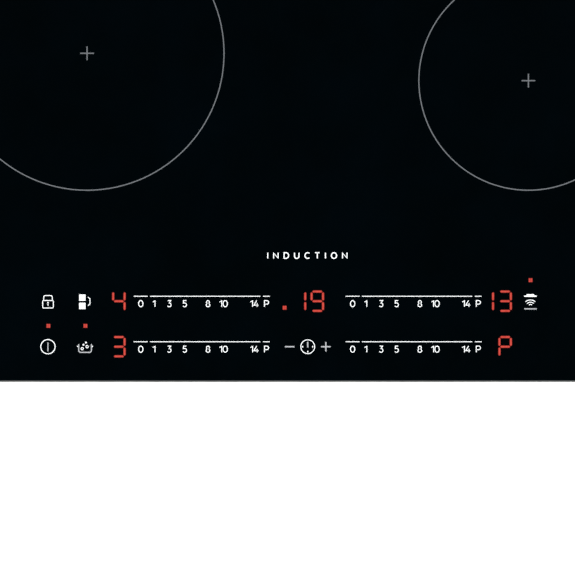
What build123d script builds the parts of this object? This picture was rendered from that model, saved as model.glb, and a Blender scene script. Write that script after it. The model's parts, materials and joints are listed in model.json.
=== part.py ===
from build123d import *
import math
import os

# Built-in electric induction cooktop with four cooking zones and slider touch controls.
# +Z is up, +X is to the user's right and +Y is towards the rear. The origin is at the middle of the
# glass's outline, on the plane that the case stands on. All sizes are in millimetres.

# ---------------------------------------------------------------- driving dimensions
# glass
GLASS_WIDTH = 590.0
GLASS_DEPTH = 520.0
GLASS_THICKNESS = 4.0
GLASS_CORNER = 6.0
GLASS_BEVEL = 1.0           # ground facet round the top edge
GLASS_ARRIS = 0.4           # small chamfer round the lower edge

# lower case, which hangs in the worktop's cut-out
RIM_OVERLAP = 15.0          # how far the glass reaches past the cut-out on average, each side
CUTOUT_CLEARANCE = 2.0      # between the case and the cut-out, each side
CASE_HEIGHT = 44.0          # from the case's underside to the worktop's top
CASE_Y = -6.0               # the cut-out sits this far in front of the glass's middle
CASE_CORNER = 8.0
CASE_BEND = 2.0             # outside radius of the bottom bend
CHANNEL_WIDTH = 8.0         # pressed stiffening channels
CHANNEL_DEPTH = 1.2
SIDE_CHANNEL_Z = 18.0
BEAD_END_GAP = 18.0
SHEET = 0.8

# seal, frame and adhesive under the glass
SEAL_THICKNESS = 2.0
SEAL_WIDTH = 6.0
SEAL_INSET = 2.0            # from the glass's edge to the seal
FRAME_THICKNESS = 1.2
FRAME_OVERHANG = 1.0        # how far the frame's flat leg reaches past the case
FRAME_LEG = 8.0             # width of the flat leg
FRAME_DROP = 10.0           # height of the upright leg
FRAME_CLEARANCE = 0.2       # between the upright leg and the case wall
BEAD_WIDTH = 6.0

# worktop clamps
POCKET_DEPTH = 13.0
POCKET_LENGTH = 44.0
POCKET_HEIGHT = 32.0
CLAMP_FRONT_Y = -150.0
CLAMP_REAR_Y = 130.0
CLAMP_AXIS_Y = -14.0        # from the pocket's middle to the screw's axis
BRACKET_SHEET = 1.5
BRACKET_GAP = 0.5           # between the bracket's back and the arm's boss
BRACKET_WIDTH = 13.0
BRACKET_LOW = 2.5
BRACKET_INSET = 1.0         # from the case's side to the bracket's tips
SCREW_SHANK_R = 2.4
SCREW_HEAD_R = 4.2
SCREW_HEAD_HEIGHT = 2.0
SCREW_CLEARANCE = 0.1
SCREW_CLIP = 0.8            # retaining ring above the bracket
DRIVE_LENGTH = 5.0          # cross recess in the head
DRIVE_WIDTH = 1.0
DRIVE_DEPTH = 1.0
ARM_LOW = 6.0
ARM_BOSS_R = 5.0
ARM_BOSS_HEIGHT = 7.6
ARM_LENGTH = 30.0
ARM_WIDTH = 8.6
ARM_THICKNESS = 2.5
ARM_TOE = 2.5
ARM_LIFT = 15.0             # how far the arm climbs its screw
ARM_STOP_GAP = 0.4          # left above the arm's boss when it is lifted

# case screws, through the wall into the frame
CASE_SCREW_R = 1.75
CASE_SCREW_HEAD_R = 3.4
CASE_SCREW_HEAD = 1.4
CASE_SCREW_LENGTH = 6.0
CASE_SCREW_DROP = 5.0       # from the case's top to its screws
CASE_SCREW_SIDE_REACH = 195.0
CASE_SCREW_END_REACH = 215.0
CROSS_LENGTH = 3.6          # cross recess in the head
CROSS_WIDTH = 0.9
CROSS_DEPTH = 0.8

# vents
VENT_WIDTH = 3.0
VENT_PITCH = 8.0
VENT_LOW = 8.0
VENT_HIGH = 24.0
VENT_FRONT_COUNT = 46
VENT_REAR_COUNT = 26
VENT_REAR_X = -120.0
INTAKE_SLOT_COUNT = 8
INTAKE_SLOT_PITCH = 6.0
CUT_PAST = 1.0              # how far a cut reaches past a sheet's faces

# control unit, places measured from the glass's front edge and middle
KEY_ROW_FRONT = 23.3
KEY_ROW_PITCH = 29.8
KEY_COLUMNS = (-171.0, -146.6)
HOOD_KEY_X = 146.0
TIMER_KEY_PITCH = 12.0
SLIDER_X = 69.5
SLIDER_LENGTH = 89.5
LEVEL_DISPLAY_X = 127.0
LEVEL_DISPLAY_WIDTH = 17.8
TIMER_DISPLAY_WIDTH = 24.4
DISPLAY_GAP = 0.2           # between the front displays and the carrier's wall
DISPLAY_HEIGHT = 5.0
LAMP_SIZE = 2.4
LAMP_GUIDE_WALL = 0.8
KEY_PAD_R = 4.0
SLIDER_PAD_DEPTH = 6.0
FOIL_THICKNESS = 0.4
UI_LEFT = -186.0
UI_RIGHT = 166.0
UI_REAR = -188.0
UI_WALL = 1.0
UI_BOARD_THICKNESS = 1.6
UI_BOARD_GAP = 1.5          # under the board, over the carrier's floor
UI_FRONT_CLEARANCE = 0.4
UI_SIDE_GAP = 2.0           # between the carrier and the relief in the frame
LAMP_DROP = 0.9             # from the middle between the key rows to the key lamps
TIMER_LAMP_X = -15.6
TIMER_LAMP_DROP = 3.7
HOOD_LAMP_RISE = 14.0
LAMP_CHIP_GAP = 0.4
LAMP_CHIP_HEIGHT = 1.2
UI_LEG_INSET = 12.0
UI_LEG_R = 4.0
UI_STUD_R = 2.5
UI_BOARD_SIDE_GAP = 0.3

# cooking zones: x, y, coil radius, number of ferrite bars
ZONES = (
    (-145.0, -44.0, 88.0, 8),
    (-145.0, 137.0, 88.0, 8),
    (145.0, -62.0, 70.0, 6),
    (145.0, 118.0, 103.0, 8),
)
COIL_HUB_R = 13.0           # sensor hole in the coil's former
COIL_START_R = 20.0
LITZ_WIDTH = 2.8
LITZ_PITCH = 3.2
LITZ_HEIGHT = 3.5
INSULATION = 1.1
FORMER_PLATE = 2.5
FERRITE_HEIGHT = 4.5
FERRITE_WIDTH = 13.0
SHIELD_SHEET = 1.0
COIL_RIM = 2.0
FORMER_WALL = 1.5
FERRITE_END_GAP = 1.0       # between a bar's outer end and the winding's edge
SPRING_REACH = 0.6          # share of the coil's radius at which the springs sit
SPRING_COUNT = 3
TRAY_SHEET = 1.5
TRAY_LOW = 27.5
TRAY_INNER_X = 12.0
TRAY_FRONT_Y = -138.0
TRAY_REAR_Y = 228.0
TRAY_MIDDLE_POST_Y = 160.0
TRAY_SCREW_INSET = 6.0
POST_R = 4.0
SPRING_STRIP = 0.5
SPRING_WIDTH = 9.0
SPRING_SPAN = 30.0
SENSOR_R = 5.0
SENSOR_HEIGHT = 8.0
SENSOR_FLANGE = 2.0
SENSOR_FLANGE_SHEET = 1.2
SENSOR_GAP = 0.2
TRAY_SCREW_R = 1.6
TRAY_SCREW_HEAD_R = 3.0
TRAY_SCREW_HEAD = 1.6

# fans
FAN_X = (-100.0, 85.0)
FAN_Y = 186.0
FAN_SIDE = 82.0
FAN_HEIGHT = 24.0
FAN_WALL = 1.6
FAN_CAVITY_R = 38.0
FAN_INTAKE_R = 24.0
IMPELLER_R = 33.0
BLADE_LENGTH = 8.0
BLADE_THICKNESS = 1.0
BLADE_COUNT = 28
FAN_SHAFT_R = 1.5
FAN_MOTOR_R = 14.0
FAN_RUNNING_GAP = 0.6
FAN_CORNER = 8.0
FAN_OUTLET_LEFT = -4.0      # the outlet's left side, from the fan's axis
FAN_MOTOR_HEIGHT = 10.0
IMPELLER_PLATE = 1.2
IMPELLER_RING = 1.5
IMPELLER_HUB_R = 5.0
IMPELLER_FLOOR_GAP = 1.6
BLADE_INSET = 0.6
BLADE_ANGLE = 35.0
SHAFT_END_GAP = 1.0         # from the blades' lower edge to the shaft
SHAFT_SOCKET_FLOOR = 1.5    # left above the motor's socket
SHAFT_TOP_GAP = 0.5         # between the shaft and the end of that socket

# power electronics
BOARD_THICKNESS = 1.6
BOARD_STANDOFF = 2.4
MODULE_WALL = 1.8
MODULE_X = (-136.0, 136.0)
MODULE_WIDTH = 224.0
MODULE_FRONT = -128.0
MODULE_REAR = 138.0
MODULE_RIM = 12.0
HEATSINK_LENGTH = 150.0
HEATSINK_BASE = 4.0
HEATSINK_FIN = 34.0
HEATSINK_HEIGHT = 19.0
FIN_COUNT = 6
FIN_THICKNESS = 1.4
TRANSISTOR_WIDTH = 16.0
TRANSISTOR_DEPTH = 5.0
TRANSISTOR_HEIGHT = 18.0
CLIP_SHEET = 1.0
BOARD_EDGE_GAP = 1.0
POST_CLEARANCE = 0.5
FILTER_WIDTH = 220.0
FILTER_FRONT = -182.0
FILTER_REAR = -142.0
MODULE_SCREW_INSET = 10.0
FILTER_SCREW_INSET = 6.0
BOSS_R = 3.0
PARTS_SHIFT = 20.0          # from a power module's middle to its heatsink's middle
TRANSISTOR_PITCH = 34.0
CLIP_WIDTH = 8.0
FILM_X = -46.0              # places in a power module, from its middle
FILM_PITCH = 38.0
FILM_SIZE = (32.0, 20.0, 18.0)
CAN_X = 88.0
CAN_Y = 42.0                # from the module's front
CAN_PITCH = 18.0
CAN_R = 6.5
CAN_HEIGHT = 19.0
CHOKE_X = 72.0
CHOKE_SHIFT = 10.0
CHOKE_WIRE = 1.6
CHOKE_GAP = 0.1
CHOKE_SIZE = (18.0, 9.5, 12.0)          # outer radius, inner radius, height
CHOKE_TURNS = 14
FILTER_FILM_X = (-40.0, -20.0)
FILTER_FILM_SIZE = (16.0, 26.0, 17.0)
FILTER_CHOKE_X = 14.0
FILTER_CHOKE_SIZE = (15.0, 8.0, 12.0)
FILTER_CHOKE_TURNS = 12
RELAY_X = (-84.0, -66.0)
RELAY_SIZE = (12.8, 29.0, 15.7)
FUSE_ENDS = (44.0, 64.0)
FUSE_PITCH = 9.0
FUSE_R = 2.6

# wiring
MAINS_WIRE_R = 1.4
MAINS_WIRE_PITCH = 3.6
LEAD_R = 1.6
MAINS_WIRE_BEND = 4.0
WIRE_LANE = 12.2            # between a tray's outer posts and the clamp pockets
RIBBON_SHEET = 0.8
RIBBON_WIDTH = 16.0
RIBBON_X = -150.0
MAINS_WIRE_COUNT = 3
MAINS_TURN = 6.0            # from the terminal box's front to the wires' first corner
MAINS_END = 16.0            # from the filter module's right side to the first wire's end
LEAD_SPLIT = 4.0            # from a coil's middle to each of its two leads

# mains terminal
TERMINAL_LEFT = 148.0
TERMINAL_RIGHT = 264.0
TERMINAL_FRONT = 178.0
TERMINAL_WALL = 2.0
TERMINAL_LIFT = 0.2         # from the top of the bottom bend to the terminal box
TERMINAL_HEIGHT = 25.0
WINDOW_MARGIN = 2.0
COVER_THICKNESS = 2.0
COVER_GAP = 0.4
HINGE_INSET = 4.5
KNUCKLE_R = 2.6
HINGE_PIN_R = 1.2
HINGE_CLEARANCE = 0.1
INLET_WIDTH = 22.0
INLET_BORE_R = 6.5
INLET_LENGTH = 11.0
POLE_COUNT = 5
POLE_PITCH = 12.0
BLOCK_DEPTH = 22.0
BLOCK_HEIGHT = 18.0
BLOCK_SIDE_GAP = 6.0        # between the block and the box's left side, inside
BLOCK_FRONT_GAP = 6.0
PIN_END_GAP = 1.0
COVER_CATCH = 2.0           # thickness of the catch behind the cover's free edge
COVER_CATCH_INSET = 4.0
COVER_CATCH_DEPTH = 3.0
COVER_RIB = 1.0
COVER_RIB_DEPTH = 1.2
COVER_RIB_MARGIN = 3.0
BUSH_CORNER = 1.5
POLE_SCREW_R = 3.0
POLE_WELL_R = 3.4
POLE_FLOOR = 5.0
POLE_SLOT_WIDTH = 0.9
POLE_SLOT_DEPTH = 0.8
PLATE_LOW = 6.0
PLATE_SHEET = 1.2
PLATE_HALF = 3.0
PLATE_HOLD = 4.8            # how far the plate reaches into the block
PLATE_MOUTH = 0.6           # round the plate, in the block
PLATE_WIRE_SPACE = 3.6      # above the plate, for a wire's end

# ---------------------------------------------------------------- derived levels and places
SEAL_BOTTOM = CASE_HEIGHT
GLASS_BOTTOM = CASE_HEIGHT + SEAL_THICKNESS
GLASS_TOP = GLASS_BOTTOM + GLASS_THICKNESS
FRAME_TOP = CASE_HEIGHT + FRAME_THICKNESS
CASE_SCREW_Z = CASE_HEIGHT - CASE_SCREW_DROP
CUTOUT_WIDTH = GLASS_WIDTH - 2 * RIM_OVERLAP
CUTOUT_DEPTH = GLASS_DEPTH - 2 * RIM_OVERLAP
CASE_WIDTH = CUTOUT_WIDTH - 2 * CUTOUT_CLEARANCE
CASE_DEPTH = CUTOUT_DEPTH - 2 * CUTOUT_CLEARANCE
CASE_FRONT, CASE_REAR = CASE_Y - CASE_DEPTH / 2, CASE_Y + CASE_DEPTH / 2
GLASS_FRONT = -GLASS_DEPTH / 2
BRACKET_HIGH = ARM_LOW + ARM_BOSS_HEIGHT + ARM_LIFT + ARM_STOP_GAP + BRACKET_SHEET
CLAMP_AXIS_INSET = POCKET_DEPTH - BRACKET_SHEET - BRACKET_GAP - ARM_BOSS_R
POCKET_WALL_X = CASE_WIDTH / 2 - POCKET_DEPTH - SHEET
TRAY_OUTER_X = POCKET_WALL_X - WIRE_LANE + TRAY_SCREW_INSET - POST_R
FRAME_INSIDE = SHEET + FRAME_CLEARANCE + FRAME_THICKNESS
UI_FRONT = CASE_FRONT + FRAME_INSIDE + UI_FRONT_CLEARANCE
FOIL_BOTTOM = GLASS_BOTTOM - FOIL_THICKNESS
UI_BOARD_TOP = FOIL_BOTTOM - DISPLAY_HEIGHT
UI_BOARD_BOTTOM = UI_BOARD_TOP - UI_BOARD_THICKNESS
UI_FLOOR_TOP = UI_BOARD_BOTTOM - UI_BOARD_GAP
UI_FLOOR_BOTTOM = UI_FLOOR_TOP - UI_WALL
KEY_ROW_LOW = GLASS_FRONT + KEY_ROW_FRONT
KEY_ROW_HIGH = KEY_ROW_LOW + KEY_ROW_PITCH
DISPLAY_DEPTH = 2 * (KEY_ROW_LOW - UI_FRONT - UI_WALL - DISPLAY_GAP)
WINDING_TOP = GLASS_BOTTOM - INSULATION
WINDING_BOTTOM = WINDING_TOP - LITZ_HEIGHT
FORMER_BOTTOM = WINDING_BOTTOM - FORMER_PLATE
SHIELD_TOP = FORMER_BOTTOM - FERRITE_HEIGHT
SHIELD_BOTTOM = SHIELD_TOP - SHIELD_SHEET
TRAY_TOP = TRAY_LOW + TRAY_SHEET
FAN_BOTTOM = SHEET
FAN_TOP = FAN_BOTTOM + FAN_HEIGHT
MODULE_FLOOR_TOP = SHEET + MODULE_WALL
BOARD_BOTTOM = MODULE_FLOOR_TOP + BOARD_STANDOFF
BOARD_TOP = BOARD_BOTTOM + BOARD_THICKNESS
TERMINAL_FLOOR = CASE_BEND + TERMINAL_LIFT
WINDOW_LOW = TERMINAL_FLOOR + WINDOW_MARGIN
WINDOW_HIGH = TERMINAL_FLOOR + TERMINAL_HEIGHT - WINDOW_MARGIN
WINDOW_LEFT = TERMINAL_LEFT + WINDOW_MARGIN
WINDOW_RIGHT = TERMINAL_RIGHT - WINDOW_MARGIN
INLET_X = WINDOW_RIGHT - COVER_GAP - INLET_WIDTH / 2
INLET_Z = (WINDOW_LOW + WINDOW_HIGH) / 2
HINGE_X = WINDOW_LEFT + HINGE_INSET - COVER_GAP
HINGE_Y = CASE_REAR - KNUCKLE_R
BLOCK_LEFT = TERMINAL_LEFT + TERMINAL_WALL + BLOCK_SIDE_GAP
BLOCK_FRONT = TERMINAL_FRONT + TERMINAL_WALL + BLOCK_FRONT_GAP
CLAMPS = (
    ("front_left", -1, CLAMP_FRONT_Y),
    ("front_right", 1, CLAMP_FRONT_Y),
    ("rear_left", -1, CLAMP_REAR_Y),
    ("rear_right", 1, CLAMP_REAR_Y),
)

LOW = (Align.CENTER, Align.CENTER, Align.MIN)
nodes = {}


# ---------------------------------------------------------------- shape helpers
def block(x0, x1, y0, y1, z0, z1):
    """A box between two corners."""
    return Pos((x0 + x1) / 2, (y0 + y1) / 2, z0) * Box(x1 - x0, y1 - y0, z1 - z0, align=LOW)


def slab(width, depth, corner, z0, z1, y=0.0):
    """A rounded rectangle centred on x = 0, between two levels."""
    return Pos(0, y, z0) * extrude(RectangleRounded(width, depth, corner), z1 - z0)


def disc(x, y, radius, z0, z1):
    return Pos(x, y, z0) * Cylinder(radius, z1 - z0, align=LOW)


def ring(x, y, outer, inner, z0, z1):
    return disc(x, y, outer, z0, z1) - disc(x, y, inner, z0, z1)


def rod_x(x0, x1, y, z, radius):
    """A cylinder along X."""
    return Pos(x0, y, z) * Rot(0, 90, 0) * Cylinder(radius, x1 - x0, align=LOW)


def rod_y(x, y0, y1, z, radius):
    """A cylinder along Y."""
    return Pos(x, y0, z) * Rot(-90, 0, 0) * Cylinder(radius, y1 - y0, align=LOW)


def group(pieces):
    """Several separate solids in one node."""
    return Compound([solid for piece in pieces for solid in piece.solids()])


def spread(count, pitch, middle=0.0):
    """Evenly pitched places about a middle."""
    return [middle + (i - (count - 1) / 2) * pitch for i in range(count)]


# ---------------------------------------------------------------- glass, seal and frame
def make_glass():
    glass = slab(GLASS_WIDTH, GLASS_DEPTH, GLASS_CORNER, GLASS_BOTTOM, GLASS_TOP)
    glass = chamfer(glass.edges().group_by(Axis.Z)[-1], GLASS_BEVEL)
    nodes["glass_top"] = chamfer(glass.edges().group_by(Axis.Z)[0], GLASS_ARRIS)


def make_seal():
    width, depth = GLASS_WIDTH - 2 * SEAL_INSET, GLASS_DEPTH - 2 * SEAL_INSET
    corner = GLASS_CORNER - SEAL_INSET
    outside = slab(width, depth, corner, SEAL_BOTTOM, GLASS_BOTTOM)
    inside = slab(width - 2 * SEAL_WIDTH, depth - 2 * SEAL_WIDTH, corner, SEAL_BOTTOM, GLASS_BOTTOM)
    nodes["glass_seal"] = outside - inside


def case_ring(outset, width, z0, z1):
    """A flat ring that follows the case: its outside lies outset beyond the case's wall."""
    w, d, r = CASE_WIDTH + 2 * outset, CASE_DEPTH + 2 * outset, CASE_CORNER + outset
    inner_corner = max(r - width, 1.0)
    outside = slab(w, d, r, z0, z1, CASE_Y)
    return outside - slab(w - 2 * width, d - 2 * width, inner_corner, z0, z1, CASE_Y)


def control_relief(z0, z1):
    """The space that the control unit takes out of the frame's flat leg."""
    front = CASE_FRONT + FRAME_INSIDE
    return block(UI_LEFT - UI_SIDE_GAP, UI_RIGHT + UI_SIDE_GAP, front, UI_REAR, z0, z1)


def case_screw_places():
    """(x, y, x direction, y direction) of each screw on the case wall, pointing outwards."""
    side_ys = spread(3, CASE_SCREW_SIDE_REACH, CASE_Y)
    places = [(sx * CASE_WIDTH / 2, y, sx, 0) for sx in (-1, 1) for y in side_ys]
    places += [(x, CASE_FRONT, 0, -1) for x in spread(2, 2 * CASE_SCREW_END_REACH)]
    return places + [(x, CASE_REAR, 0, 1) for x in spread(3, CASE_SCREW_END_REACH)]


def wall_rod(place, inward, outward, radius):
    """A cylinder across the case wall, from inward inside its outer face to outward beyond it."""
    x, y, dx, dy = place
    if dx:
        low, high = sorted((x - dx * inward, x + dx * outward))
        return rod_x(low, high, y, CASE_SCREW_Z, radius)
    low, high = sorted((y - dy * inward, y + dy * outward))
    return rod_y(x, low, high, CASE_SCREW_Z, radius)


def make_frame():
    flat = case_ring(FRAME_OVERHANG, FRAME_LEG, CASE_HEIGHT, FRAME_TOP)
    upright = case_ring(
        -(SHEET + FRAME_CLEARANCE), FRAME_THICKNESS, CASE_HEIGHT - FRAME_DROP, CASE_HEIGHT
    )
    frame = flat + upright - control_relief(CASE_HEIGHT, FRAME_TOP)
    hole = CASE_SCREW_R + SCREW_CLEARANCE
    for place in case_screw_places():
        frame -= wall_rod(place, CASE_SCREW_LENGTH, 0, hole)
    nodes["glass_frame"] = frame


def make_adhesive():
    bead = case_ring(0, BEAD_WIDTH, FRAME_TOP, GLASS_BOTTOM)
    nodes["glass_adhesive"] = bead - control_relief(FRAME_TOP, GLASS_BOTTOM)


# ---------------------------------------------------------------- lower case
def pocket(side, y, grow=0.0):
    """The recess in the case's side that a worktop clamp sits in; grow adds the sheet round it."""
    wall = side * CASE_WIDTH / 2
    low, high = sorted((wall - side * (POCKET_DEPTH + grow), wall + side * CUT_PAST))
    half = POCKET_LENGTH / 2 + grow
    return block(low, high, y - half, y + half, -CUT_PAST, POCKET_HEIGHT + grow)


def side_bead(side, grow=0.0):
    """The pressed stiffening channel along the case's side, between its two clamps."""
    wall = side * CASE_WIDTH / 2
    y0 = CLAMP_FRONT_Y + POCKET_LENGTH / 2 + BEAD_END_GAP
    y1 = CLAMP_REAR_Y - POCKET_LENGTH / 2 - BEAD_END_GAP
    profile = SlotOverall(y1 - y0 + 2 * grow, CHANNEL_WIDTH + 2 * grow)
    channel = extrude(profile, CHANNEL_DEPTH + grow, both=True)
    return Pos(wall, (y0 + y1) / 2, SIDE_CHANNEL_Z) * Rot(0, 90, 0) * Rot(0, 0, 90) * channel


def floor_beads(grow=0.0):
    """The pressed channels in the floor: one between the power modules and one under the controls."""
    half_depth = CHANNEL_DEPTH + grow
    middle = (MODULE_FRONT + MODULE_REAR) / 2
    long_profile = SlotOverall(MODULE_REAR - MODULE_FRONT + 2 * grow, CHANNEL_WIDTH + 2 * grow)
    along = Pos(0, middle, 0) * Rot(0, 0, 90) * extrude(long_profile, half_depth, both=True)
    cross_profile = SlotOverall(UI_RIGHT - UI_LEFT + 2 * grow, CHANNEL_WIDTH + 2 * grow)
    cross_y = (UI_FRONT + UI_REAR) / 2
    across = Pos((UI_LEFT + UI_RIGHT) / 2, cross_y, 0) * extrude(cross_profile, half_depth, both=True)
    return along + across


def vent_slots():
    """Cuts for the air: inlets in the floor under the fans, outlets in the front and rear walls."""
    half_slot, floor_high = VENT_WIDTH / 2, SHEET + CUT_PAST
    cuts = []
    for x in FAN_X:
        for dy in spread(INTAKE_SLOT_COUNT, INTAKE_SLOT_PITCH):
            half = math.sqrt(FAN_INTAKE_R**2 - dy**2)
            y = FAN_Y + dy
            cuts.append(block(x - half, x + half, y - half_slot, y + half_slot, -CUT_PAST, floor_high))
    for x in spread(VENT_FRONT_COUNT, VENT_PITCH):
        y0, y1 = CASE_FRONT - CUT_PAST, CASE_FRONT + SHEET + CUT_PAST
        cuts.append(block(x - half_slot, x + half_slot, y0, y1, VENT_LOW, VENT_HIGH))
    for x in spread(VENT_REAR_COUNT, VENT_PITCH, VENT_REAR_X):
        y0, y1 = CASE_REAR - SHEET - CUT_PAST, CASE_REAR + CUT_PAST
        cuts.append(block(x - half_slot, x + half_slot, y0, y1, VENT_LOW, VENT_HIGH))
    return group(cuts)


def make_case():
    outside = slab(CASE_WIDTH, CASE_DEPTH, CASE_CORNER, 0, CASE_HEIGHT, CASE_Y)
    outside = fillet(outside.edges().group_by(Axis.Z)[0], CASE_BEND)
    inside = slab(
        CASE_WIDTH - 2 * SHEET, CASE_DEPTH - 2 * SHEET, CASE_CORNER - SHEET, SHEET, CASE_HEIGHT, CASE_Y
    )
    inside = fillet(inside.edges().group_by(Axis.Z)[0], CASE_BEND - SHEET)
    for side in (-1, 1):
        outside -= side_bead(side)
        inside -= side_bead(side, SHEET)
        for y in (CLAMP_FRONT_Y, CLAMP_REAR_Y):
            outside -= pocket(side, y)
            inside -= pocket(side, y, SHEET)
    outside -= floor_beads()
    inside -= floor_beads(SHEET)
    case = outside - inside - vent_slots()
    for place in case_screw_places():
        case -= wall_rod(place, CASE_SCREW_LENGTH, CUT_PAST, CASE_SCREW_R + 2 * SCREW_CLEARANCE)
    y0, y1 = CASE_REAR - SHEET - CUT_PAST, CASE_REAR + CUT_PAST
    case -= block(WINDOW_LEFT, WINDOW_RIGHT, y0, y1, WINDOW_LOW, WINDOW_HIGH)
    nodes["case_pan"] = case


def make_case_screws():
    screws = []
    for place in case_screw_places():
        shank = wall_rod(place, CASE_SCREW_LENGTH, 0, CASE_SCREW_R)
        head = wall_rod(place, 0, CASE_SCREW_HEAD, CASE_SCREW_HEAD_R)
        x, y, dx, dy = place
        recess = Pos(x + dx * CASE_SCREW_HEAD, y + dy * CASE_SCREW_HEAD, CASE_SCREW_Z)
        deep = 2 * CROSS_DEPTH
        flat = Box(deep if dx else CROSS_LENGTH, deep if dy else CROSS_LENGTH, CROSS_WIDTH)
        upright = Box(deep if dx else CROSS_WIDTH, deep if dy else CROSS_WIDTH, CROSS_LENGTH)
        screws.append(shank + head - recess * flat - recess * upright)
    nodes["case_screws"] = group(screws)


# ---------------------------------------------------------------- worktop clamps
def make_clamps():
    brackets = []
    for name, side, y in CLAMPS:
        axis_x, axis_y = side * (CASE_WIDTH / 2 - CLAMP_AXIS_INSET), y + CLAMP_AXIS_Y
        back = side * (CASE_WIDTH / 2 - POCKET_DEPTH)
        x0, x1 = sorted((back, side * (CASE_WIDTH / 2 - BRACKET_INSET)))
        half = BRACKET_WIDTH / 2
        bracket = block(x0, x1, axis_y - half, axis_y + half, BRACKET_LOW, BRACKET_HIGH)
        c0, c1 = sorted((back + side * BRACKET_SHEET, side * CASE_WIDTH / 2))
        bracket -= block(
            c0, c1, axis_y - half, axis_y + half, BRACKET_LOW + BRACKET_SHEET, BRACKET_HIGH - BRACKET_SHEET
        )
        hole = SCREW_SHANK_R + 2 * SCREW_CLEARANCE
        brackets.append(bracket - disc(axis_x, axis_y, hole, 0, POCKET_HEIGHT))

        head_top = BRACKET_LOW - SCREW_CLEARANCE
        head_low = head_top - SCREW_HEAD_HEIGHT
        clip_low = BRACKET_HIGH + SCREW_CLEARANCE
        screw = disc(axis_x, axis_y, SCREW_HEAD_R, head_low, head_top)
        screw += disc(axis_x, axis_y, SCREW_SHANK_R, head_top, clip_low)
        screw += disc(axis_x, axis_y, SCREW_HEAD_R, clip_low, clip_low + SCREW_CLIP)
        screw -= Pos(axis_x, axis_y, head_low) * Box(DRIVE_LENGTH, DRIVE_WIDTH, 2 * DRIVE_DEPTH)
        screw -= Pos(axis_x, axis_y, head_low) * Box(DRIVE_WIDTH, DRIVE_LENGTH, 2 * DRIVE_DEPTH)
        nodes[f"clamp_screw_{name}"] = screw

        tip = axis_y + ARM_LENGTH
        arm = disc(axis_x, axis_y, ARM_BOSS_R, ARM_LOW, ARM_LOW + ARM_BOSS_HEIGHT)
        w = ARM_WIDTH / 2
        arm += block(axis_x - w, axis_x + w, axis_y, tip, ARM_LOW, ARM_LOW + ARM_THICKNESS)
        toe_top = ARM_LOW + ARM_THICKNESS + ARM_TOE
        arm += block(axis_x - w, axis_x + w, tip - ARM_THICKNESS, tip, ARM_LOW, toe_top)
        bore = SCREW_SHANK_R + SCREW_CLEARANCE
        nodes[f"clamp_arm_{name}"] = arm - disc(axis_x, axis_y, bore, ARM_LOW, POCKET_HEIGHT)
    nodes["clamp_brackets"] = group(brackets)


# ---------------------------------------------------------------- control unit
def key_places():
    keys = [(x, y) for x in KEY_COLUMNS for y in (KEY_ROW_LOW, KEY_ROW_HIGH)]
    keys += [(x, KEY_ROW_LOW) for x in spread(3, TIMER_KEY_PITCH)]
    return keys + [(HOOD_KEY_X, KEY_ROW_HIGH)]


def display_places():
    """(x, y, width) of each display module."""
    rows = (KEY_ROW_LOW, KEY_ROW_HIGH)
    levels = [(s * LEVEL_DISPLAY_X, y, LEVEL_DISPLAY_WIDTH) for s in (-1, 1) for y in rows]
    return levels + [(0.0, KEY_ROW_HIGH, TIMER_DISPLAY_WIDTH)]


def lamp_places():
    key_lamp_y = (KEY_ROW_LOW + KEY_ROW_HIGH) / 2 - LAMP_DROP
    timer_lamp = (TIMER_LAMP_X, KEY_ROW_HIGH - TIMER_LAMP_DROP)
    hood_lamp = (HOOD_KEY_X, KEY_ROW_HIGH + HOOD_LAMP_RISE)
    return [(x, key_lamp_y) for x in KEY_COLUMNS] + [timer_lamp, hood_lamp]


def slider_places():
    return [(s * SLIDER_X, y) for s in (-1, 1) for y in (KEY_ROW_LOW, KEY_ROW_HIGH)]


def around(x, y, width, depth, z0, z1):
    return block(x - width / 2, x + width / 2, y - depth / 2, y + depth / 2, z0, z1)


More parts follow.
